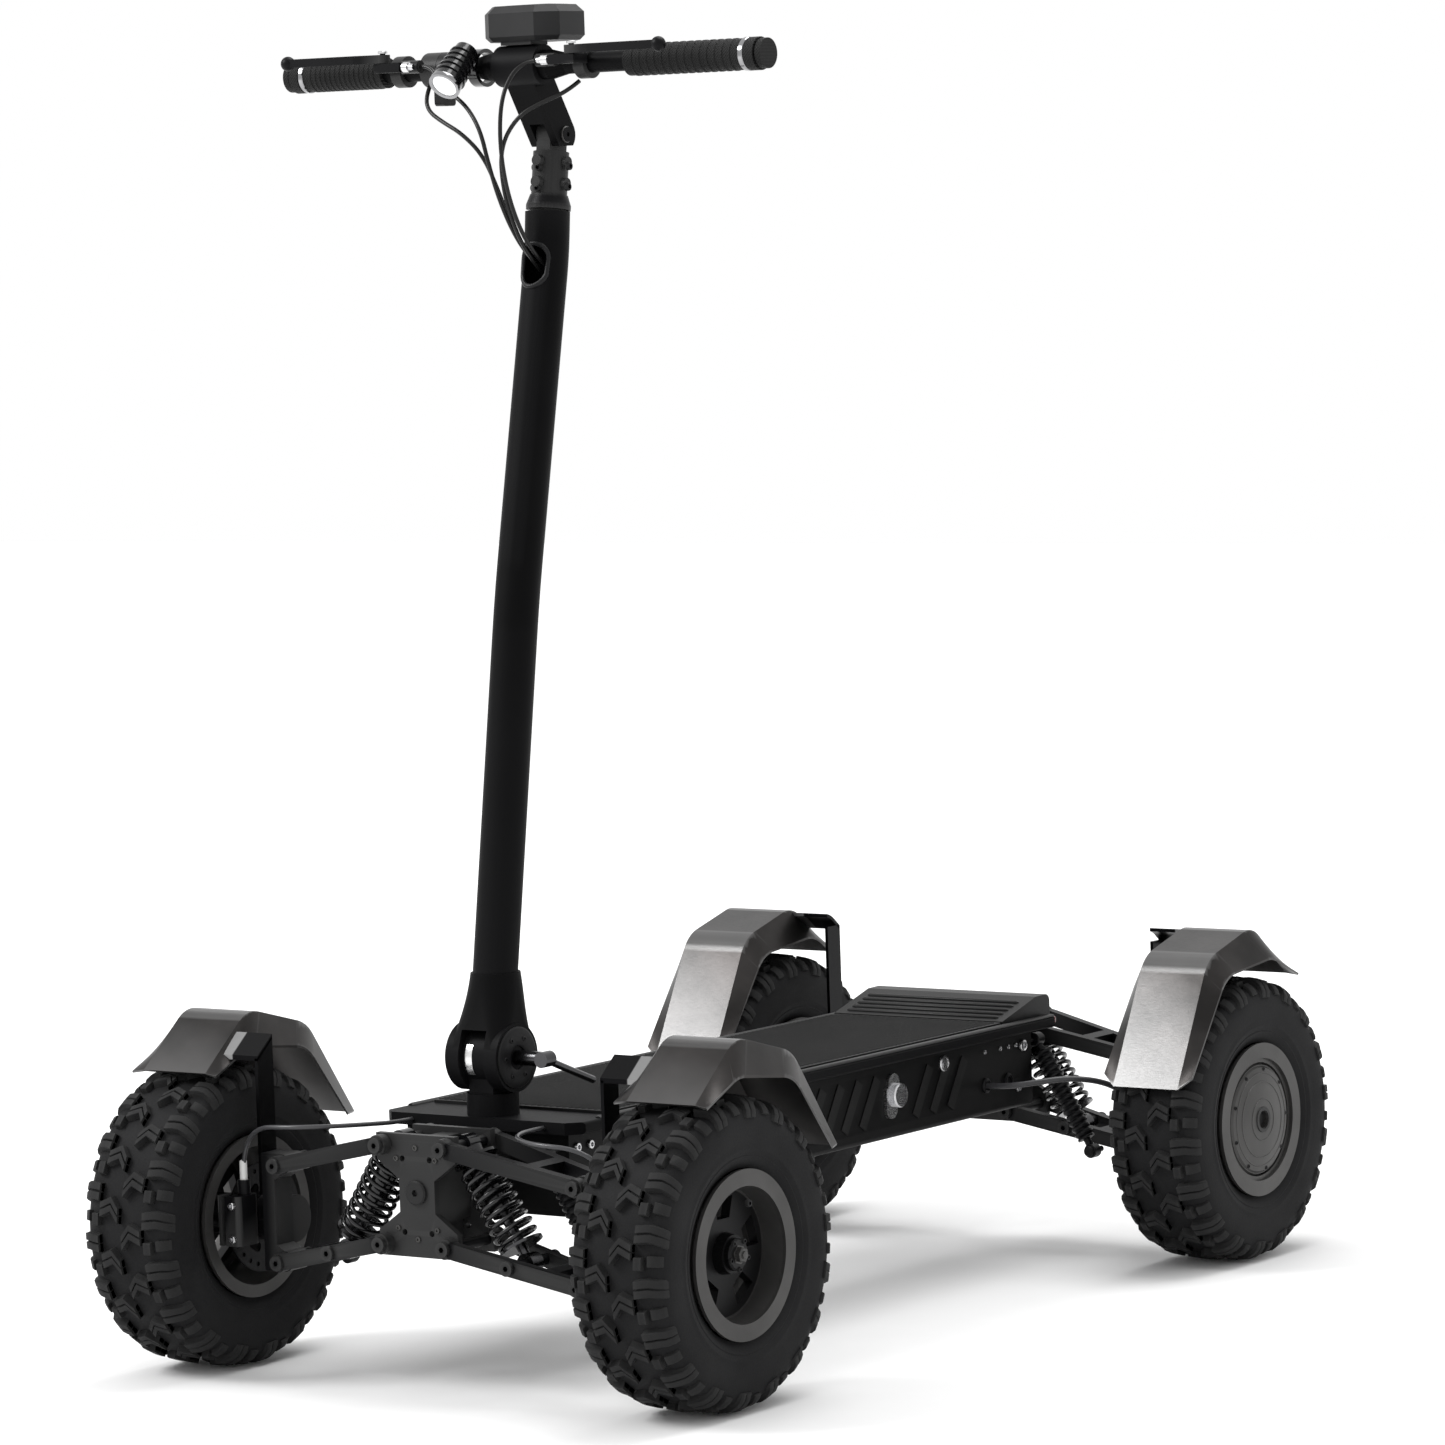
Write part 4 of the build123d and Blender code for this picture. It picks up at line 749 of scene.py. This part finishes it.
def side_discs():
    """The screwed cap on each side of the fold housing, around the pin."""
    for name, side in LEVER_SIDES.items():
        bm = bmesh.new()
        face = side * BARREL_HALF
        ring(bm, Vector((face, FOLD_AXIS.y, FOLD_AXIS.z)), (side, 0, 0), [
            (-0.5 * MM, 13 * MM), (1.6 * MM, 13 * MM), (2.2 * MM, 14 * MM), (2.2 * MM, 31 * MM),
            (1.2 * MM, 33 * MM), (-0.5 * MM, 33 * MM)], steps=64)
        for k in range(6):
            turn = 2 * pi * k / 6
            seat = Vector((face + side * 2.2 * MM, FOLD_AXIS.y + 22 * MM * cos(turn),
                           FOLD_AXIS.z + 22 * MM * sin(turn)))
            socket_bolt(bm, seat, (side, 0, 0), 2.6 * MM, 1.2 * MM)
        piece(f"fold_cap_{name}", bm, ANODISED, "stem")


def tube_front(x, z):
    """The place on the front of the upper stem tube, x off its middle at height z."""
    middle = STEM_BEND.y + (z - STEM_BEND.z) * STEM_LEAN
    return Vector((x, middle - 1.02 * sqrt(max(0.0, STEM_RADIUS ** 2 - x * x)), z))


def port_grommet():
    """The oval rubber lip of the stem's cable port, standing off the tube."""
    half_height, half_width, middle = 23 * MM, 16.5 * MM, PORT_Z
    bm = bmesh.new()
    straight = half_height - half_width
    outline = []
    for k in range(24):
        turn = 2 * pi * k / 24
        up = sin(turn)
        shift = straight if up >= 0 else -straight
        outline.append((half_width * cos(turn), middle + half_width * up + shift))
    rows = []
    for x, z in outline:
        out = Vector((x, 0, z - middle)).normalized()
        at = tube_front(min(max(x, -22 * MM), 22 * MM), z)
        rows.append([at + out * 2.8 * MM * cos(t) + Vector((0, -2.6 * MM * sin(t), 0))
                     for t in [2 * pi * j / 10 for j in range(10)]])
    strip_faces(bm, rows=rows, close_rows=True, close_columns=True)
    piece("port_grommet", bm, PLASTIC, "stem")


def stem_bolts():
    """Bolts of the post's clamp and of the head's hinge."""
    bm = bmesh.new()
    for z in (1.262, 1.284):
        for side in (1, -1):
            y = STEM_TOP.y + (z - STEM_TOP.z) * POST_LEAN
            seat, _ = surface_at("stem_post", (side * 0.1, y, z), (-side, 0, 0))
            socket_bolt(bm, seat, (side, 0, 0), 4.6 * MM, 3.4 * MM)
        seat, _ = surface_at("stem_post", (0, -0.4, z), (0, 1, 0))
        socket_bolt(bm, seat, (0, -1, 0), 4.2 * MM, 4.2 * MM)
    piece("post_bolts", bm, ANODISED, "stem")
    hinge = bmesh.new()
    for side in (1, -1):
        seat, _ = surface_at("bar_head", HEAD_HINGE + Vector((side * 0.1, 0, 0)), (-side, 0, 0))
        if abs(seat.x) > 0.05:
            seat = HEAD_HINGE + Vector((side * 24 * MM, 0, 0))
        turned(hinge, seat, (side, 0, 0), [
            (-1 * MM, 9 * MM), (1.4 * MM, 9 * MM), (2.2 * MM, 8 * MM), (2.2 * MM, 4.4 * MM),
            (0.4 * MM, 4 * MM), (0.4 * MM, 0)], steps=24)
    piece("hinge_bolts", hinge, SATIN, "bar")


# ---------------------------------------------------------------- handlebar
def grip_ends():
    """The polished clamp ring at each grip's outer end, and the grip's raised bands."""
    for name, (side, inner) in {"left": (1, 142), "right": (-1, 184)}.items():
        rings = bmesh.new()
        wide = 6 * MM
        ring(rings, Vector((side * 291 * MM, *BAR_CENTRE)), (side, 0, 0), [
            (0, 15 * MM), (0, 17 * MM), (0.8 * MM, 17.7 * MM), (wide - 0.8 * MM, 17.7 * MM),
            (wide, 17 * MM), (wide, 15 * MM)], steps=48)
        piece(f"grip_rings_{name}", rings, BRIGHT, "bar")
        ribs = bmesh.new()
        start = inner + 8
        for k in range(14):
            x = side * (start + k * (290 - start - 4) / 14) * MM
            ring(ribs, Vector((x, *BAR_CENTRE)), (side, 0, 0), [
                (0, 16.2 * MM), (0.9 * MM, 17.1 * MM), (4.2 * MM, 17.1 * MM), (5.1 * MM, 16.2 * MM)], steps=40)
        piece(f"grip_ribs_{name}", ribs, GRIP, "bar")


def lever_fittings():
    """Barrel adjusters and pivot screws of the two brake perches."""
    bright = bmesh.new()
    for pivot_x, side in ((88, 1), (-166, -1)):
        at = Vector((pivot_x - side * 22, -352, 1396)) * MM
        turned(bright, at, (-side, -0.12, 0), [
            (0, 4.6 * MM), (5 * MM, 4.6 * MM), (5.4 * MM, 3.4 * MM), (7.6 * MM, 3.4 * MM), (8 * MM, 5.6 * MM),
            (16 * MM, 5.6 * MM), (16.6 * MM, 4 * MM), (22 * MM, 3 * MM), (22 * MM, 0)], steps=20)
        seat = Vector((pivot_x, -352, 1404)) * MM
        top, _ = surface_at("lever_perches", seat + Vector((0, 0, 0.06)), (0, 0, -1))
        turned(bright, top, (0, 0, 1), [(-1 * MM, 5.2 * MM), (1.2 * MM, 5.2 * MM), (1.8 * MM, 4.4 * MM),
                                        (1.8 * MM, 2.2 * MM), (0.6 * MM, 2 * MM), (0.6 * MM, 0)], steps=20)
    piece("lever_adjusters", bright, SILVER, "bar")


def display_details():
    """The screen facing the rider and the buttons on the housing."""
    low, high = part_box("display")
    middle = Vector((0, (low.y + high.y) / 2 + 4 * MM, high.z))
    screen = bmesh.new()
    rows = []
    half_x, half_y = 33 * MM, 22 * MM
    for lift, size in ((-0.6 * MM, 1.0), (0.5 * MM, 1.0), (0.9 * MM, 0.97), (0.9 * MM, 0.02)):
        row = []
        for k in range(32):
            t = 2 * pi * k / 32
            x = half_x * size * (1 if cos(t) >= 0 else -1) * abs(cos(t)) ** 0.35
            y = half_y * size * (1 if sin(t) >= 0 else -1) * abs(sin(t)) ** 0.35
            row.append(middle + Vector((x, y, lift)))
        rows.append(row)
    strip_faces(screen, rows=rows, close_columns=True, caps=True)
    piece("display_screen", screen, SCREEN, "bar")
    buttons = bmesh.new()
    for k in (-1, 0, 1):
        seat = Vector((k * 22 * MM, high.y - 3 * MM, low.z + 0.55 * (high.z - low.z)))
        place, normal = surface_at("display", seat + Vector((0, 0.05, 0)), (0, -1, 0))
        turned(buttons, place, normal, [(-1 * MM, 6 * MM), (1.2 * MM, 6 * MM), (1.8 * MM, 5 * MM),
                                        (1.8 * MM, 0)], steps=24)
    piece("display_buttons", buttons, PLASTIC, "bar")


def lamp_details():
    """The lamp's white lens in a bright bezel, and its cooling fins."""
    start = Vector((-56, -346, 1410)) * MM
    along = Vector((0, -cos(radians(42)), -sin(radians(42))))
    lens = bmesh.new()
    turned(lens, start + along * 53 * MM, along, [(0, 0), (0, 14 * MM), (2 * MM, 14 * MM), (3.2 * MM, 11 * MM),
                                                  (3.8 * MM, 6 * MM), (4 * MM, 0)], steps=40)
    piece("lamp_glass", lens, LENS, "headlight")
    bezel = bmesh.new()
    ring(bezel, start + along * 53 * MM, along, [
        (-2 * MM, 17.4 * MM), (1 * MM, 18 * MM), (3.6 * MM, 17.6 * MM), (3.6 * MM, 14.4 * MM),
        (0, 14 * MM), (-2 * MM, 14 * MM)], steps=48)
    piece("lamp_bezel", bezel, BRIGHT, "headlight")
    fins = bmesh.new()
    for k in range(5):
        at = 8 + k * 8
        radius = 13 + 4.5 * at / 54
        ring(fins, start + along * at * MM, along, [
            (0, (radius - 1.5) * MM), (0.4 * MM, (radius + 1.7) * MM), (2.6 * MM, (radius + 1.9) * MM),
            (3 * MM, (radius - 1.3) * MM)], steps=40)
    piece("lamp_fins", fins, LAMP, "headlight")


# ---------------------------------------------------------------- cables
STEM_ROUTES = [
    [(40, -348, 1396), (27, -348, 1396), (14, -360, 1384), (9, -374, 1356), (8, -378, 1312), (8, -370, 1264),
     (7, -348, 1220), (6, -322, 1192), (6, -304, 1180)],
    [(78, -326, 1373), (70, -338, 1362), (48, -352, 1352), (24, -366, 1338), (4, -372, 1306),
     (1, -366, 1262), (0, -348, 1222), (0, -326, 1192), (0, -304, 1174)],
    [(-118, -348, 1396), (-106, -348, 1396), (-92, -354, 1384), (-72, -356, 1366), (-44, -364, 1350),
     (-20, -374, 1324), (-9, -377, 1290), (-6, -364, 1250), (-5, -342, 1214), (-5, -318, 1190),
     (-5, -300, 1179)],
    [(-116, -333, 1378), (-117, -342, 1364), (-108, -350, 1348), (-84, -358, 1336), (-54, -362, 1322),
     (-30, -358, 1298), (-18, -350, 1262), (-13, -336, 1224), (-11, -318, 1196), (-10, -300, 1186)],
]
BRAKE_HOSE = [(246.5, -563, 212), (246.5, -563, 237), (229.5, -569, 262), (205.5, -577, 273),
              (175.5, -583, 275), (145.5, -577, 276), (118, -556, 276), (98, -524, 275), (88, -494, 273.5),
              (88, -469, 273.5)]
MOTOR_LEAD = [(108, 352, 212), (134, 352, 212), (164, 366, 216), (194, 392, 220), (220, 424, 214),
              (232, 456, 198), (233, 491, 177)]


def smooth_line(points):
    """The smooth line through the air that has points as its control points, as closely spaced places."""
    curve = bpy.data.curves.new("route", "CURVE")
    curve.dimensions = "3D"
    curve.resolution_u = 10
    spline = curve.splines.new("NURBS")
    spline.points.add(len(points) - 1)
    for place, point in zip(spline.points, points):
        place.co = (*point, 1)
    spline.order_u = 3
    spline.use_endpoint_u = True
    holder = bpy.data.objects.new("route", curve)
    bpy.context.scene.collection.objects.link(holder)
    bpy.context.view_layer.update()
    mesh = bpy.data.meshes.new_from_object(holder)
    line = [v.co.copy() for v in mesh.vertices]
    bpy.data.objects.remove(holder)
    bpy.data.curves.remove(curve)
    bpy.data.meshes.remove(mesh)
    return line


def held_cable(name, route, diameter, material, bend, node):
    """A cable along its route between the two bodies it joins."""
    line = smooth_line([Vector(p) * MM for p in route])
    bm = bmesh.new()
    tube_along(bm, line, diameter / 2, steps=12)
    cable = piece(name, bm, material, None, bend=bend, replaces=[node])
    return cable


def cables():
    """The four cables from the bar to the stem's port, the brake hoses and the motor leads."""
    for k, route in enumerate(STEM_ROUTES, start=1):
        ends = (Vector((0, -0.365, 1.335)), Vector((0, -0.335, 1.205)))
        held_cable(f"stem_cable_{k}", route, 4.6 * MM, CABLE, (("bar", "stem"), *ends), "stem_cables")
    for name, side in LEVER_SIDES.items():
        hose = [(side * x, y, z) for x, y, z in BRAKE_HOSE]
        ends = (Vector((side * 0.10, -0.55, 0.27)), Vector((side * 0.235, -0.57, 0.25)))
        held_cable(f"brake_hose_{name}", hose, 5 * MM, LEAD, (("chassis", f"upper_arm_front_{name}"), *ends),
                   "wheel_lines")
        lead = [(side * x, y, z) for x, y, z in MOTOR_LEAD]
        ends = (Vector((side * 0.12, 0.36, 0.212)), Vector((side * 0.228, 0.45, 0.2)))
        held_cable(f"motor_lead_{name}", lead, 7 * MM, LEAD, (("chassis", f"lower_arm_rear_{name}"), *ends),
                   "wheel_lines")


# ---------------------------------------------------------------- stage
def camera():
    """The photograph's point of view."""
    heading, dip, roll = radians(35.54), radians(4.49), radians(-1.94)
    forward = Vector((-sin(heading) * cos(dip), cos(heading) * cos(dip), -sin(dip)))
    right = Vector((cos(heading), sin(heading), 0))
    up = right.cross(forward)
    right_rolled = right * cos(roll) + up * sin(roll)
    up_rolled = up * cos(roll) - right * sin(roll)
    lens = bpy.data.cameras.new("camera")
    lens.lens = 157.3
    lens.sensor_width = 36
    lens.clip_end = 60
    viewer = bpy.data.objects.new("camera", lens)
    turn = Matrix((right_rolled, up_rolled, -forward)).transposed().to_4x4()
    viewer.matrix_world = Matrix.Translation((4.091, -5.723, 1.214)) @ turn
    bpy.context.scene.collection.objects.link(viewer)
    bpy.context.scene.camera = viewer


def soft_box(name, place, aim, size, power):
    """A large area light."""
    light = bpy.data.lights.new(name, "AREA")
    light.shape = "RECTANGLE"
    light.size, light.size_y = size
    light.energy = power
    lamp = bpy.data.objects.new(name, light)
    lamp.location = place
    lamp.rotation_euler = (Vector(aim) - Vector(place)).to_track_quat("-Z", "Y").to_euler()
    bpy.context.scene.collection.objects.link(lamp)


def floor_finish():
    """White paper, which glows enough far from the object to meet the white surround without a line."""
    material = finish("floor_white", (0.80, 0.80, 0.80), 0.85, specular=0.1, other=(0.81, 0.81, 0.81),
                      grain=40, bump=0.0)
    tree = material.node_tree
    shader = tree.nodes["Principled BSDF"]
    place = tree.nodes["Texture Coordinate"]
    reach = tree.nodes.new("ShaderNodeVectorMath")
    reach.operation = "LENGTH"
    tree.links.new(place.outputs["Object"], reach.inputs[0])
    far = tree.nodes.new("ShaderNodeMapRange")
    far.inputs["From Min"].default_value = 0.9
    far.inputs["From Max"].default_value = 3.6
    far.inputs["To Max"].default_value = 0.35
    tree.links.new(reach.outputs["Value"], far.inputs["Value"])
    tree.links.new(far.outputs["Result"], shader.inputs["Emission Strength"])
    shader.inputs["Emission Color"].default_value = (1, 1, 1, 1)
    return material


def studio():
    """A white floor that fades into a white surround, with soft light from the left and above."""
    bm = bmesh.new()
    half = 14.0
    for x, y in ((-half, -half), (half, -half), (half, half), (-half, half)):
        bm.verts.new((x, y, 0))
    bm.faces.new(bm.verts)
    mesh = bpy.data.meshes.new("floor")
    bm.to_mesh(mesh)
    bm.free()
    mesh.materials.append(floor_finish())
    floor = bpy.data.objects.new("floor", mesh)
    bpy.context.scene.collection.objects.link(floor)

    world = bpy.data.worlds.new("studio")
    world.use_nodes = True
    world.node_tree.nodes["Background"].inputs["Color"].default_value = (1, 1, 1, 1)
    world.node_tree.nodes["Background"].inputs["Strength"].default_value = 1.0
    bpy.context.scene.world = world
    soft_box("key", (-3.6, -3.4, 4.4), (0, 0, 0.2), (2.2, 2.2), 260)
    soft_box("top", (0.4, 1.2, 4.6), (0, 0, 0.3), (2.6, 2.6), 120)
    bpy.context.scene.view_settings.view_transform = "Standard"


# ---------------------------------------------------------------- build
dress_cad_nodes()
for corner in CORNERS:
    tyre(corner)
    strut(corner)
    spring(corner)
    pin_to(corner)
for corner in ("front_left", "front_right"):
    front_wheel_details(corner)
for corner in ("rear_left", "rear_right"):
    rear_wheel_details(corner)
for end in (-1, 1):
    bulkhead_screws(end)
for side_name, side in LEVER_SIDES.items():
    caliper_fittings(side_name, side)
mat_ribs()
deck_rails()
kick_pad_ribs()
side_fittings()
tail_reflectors()
latch_strip()
side_discs()
port_grommet()
stem_bolts()
grip_ends()
lever_fittings()
display_details()
lamp_details()
cables()
camera()
studio()
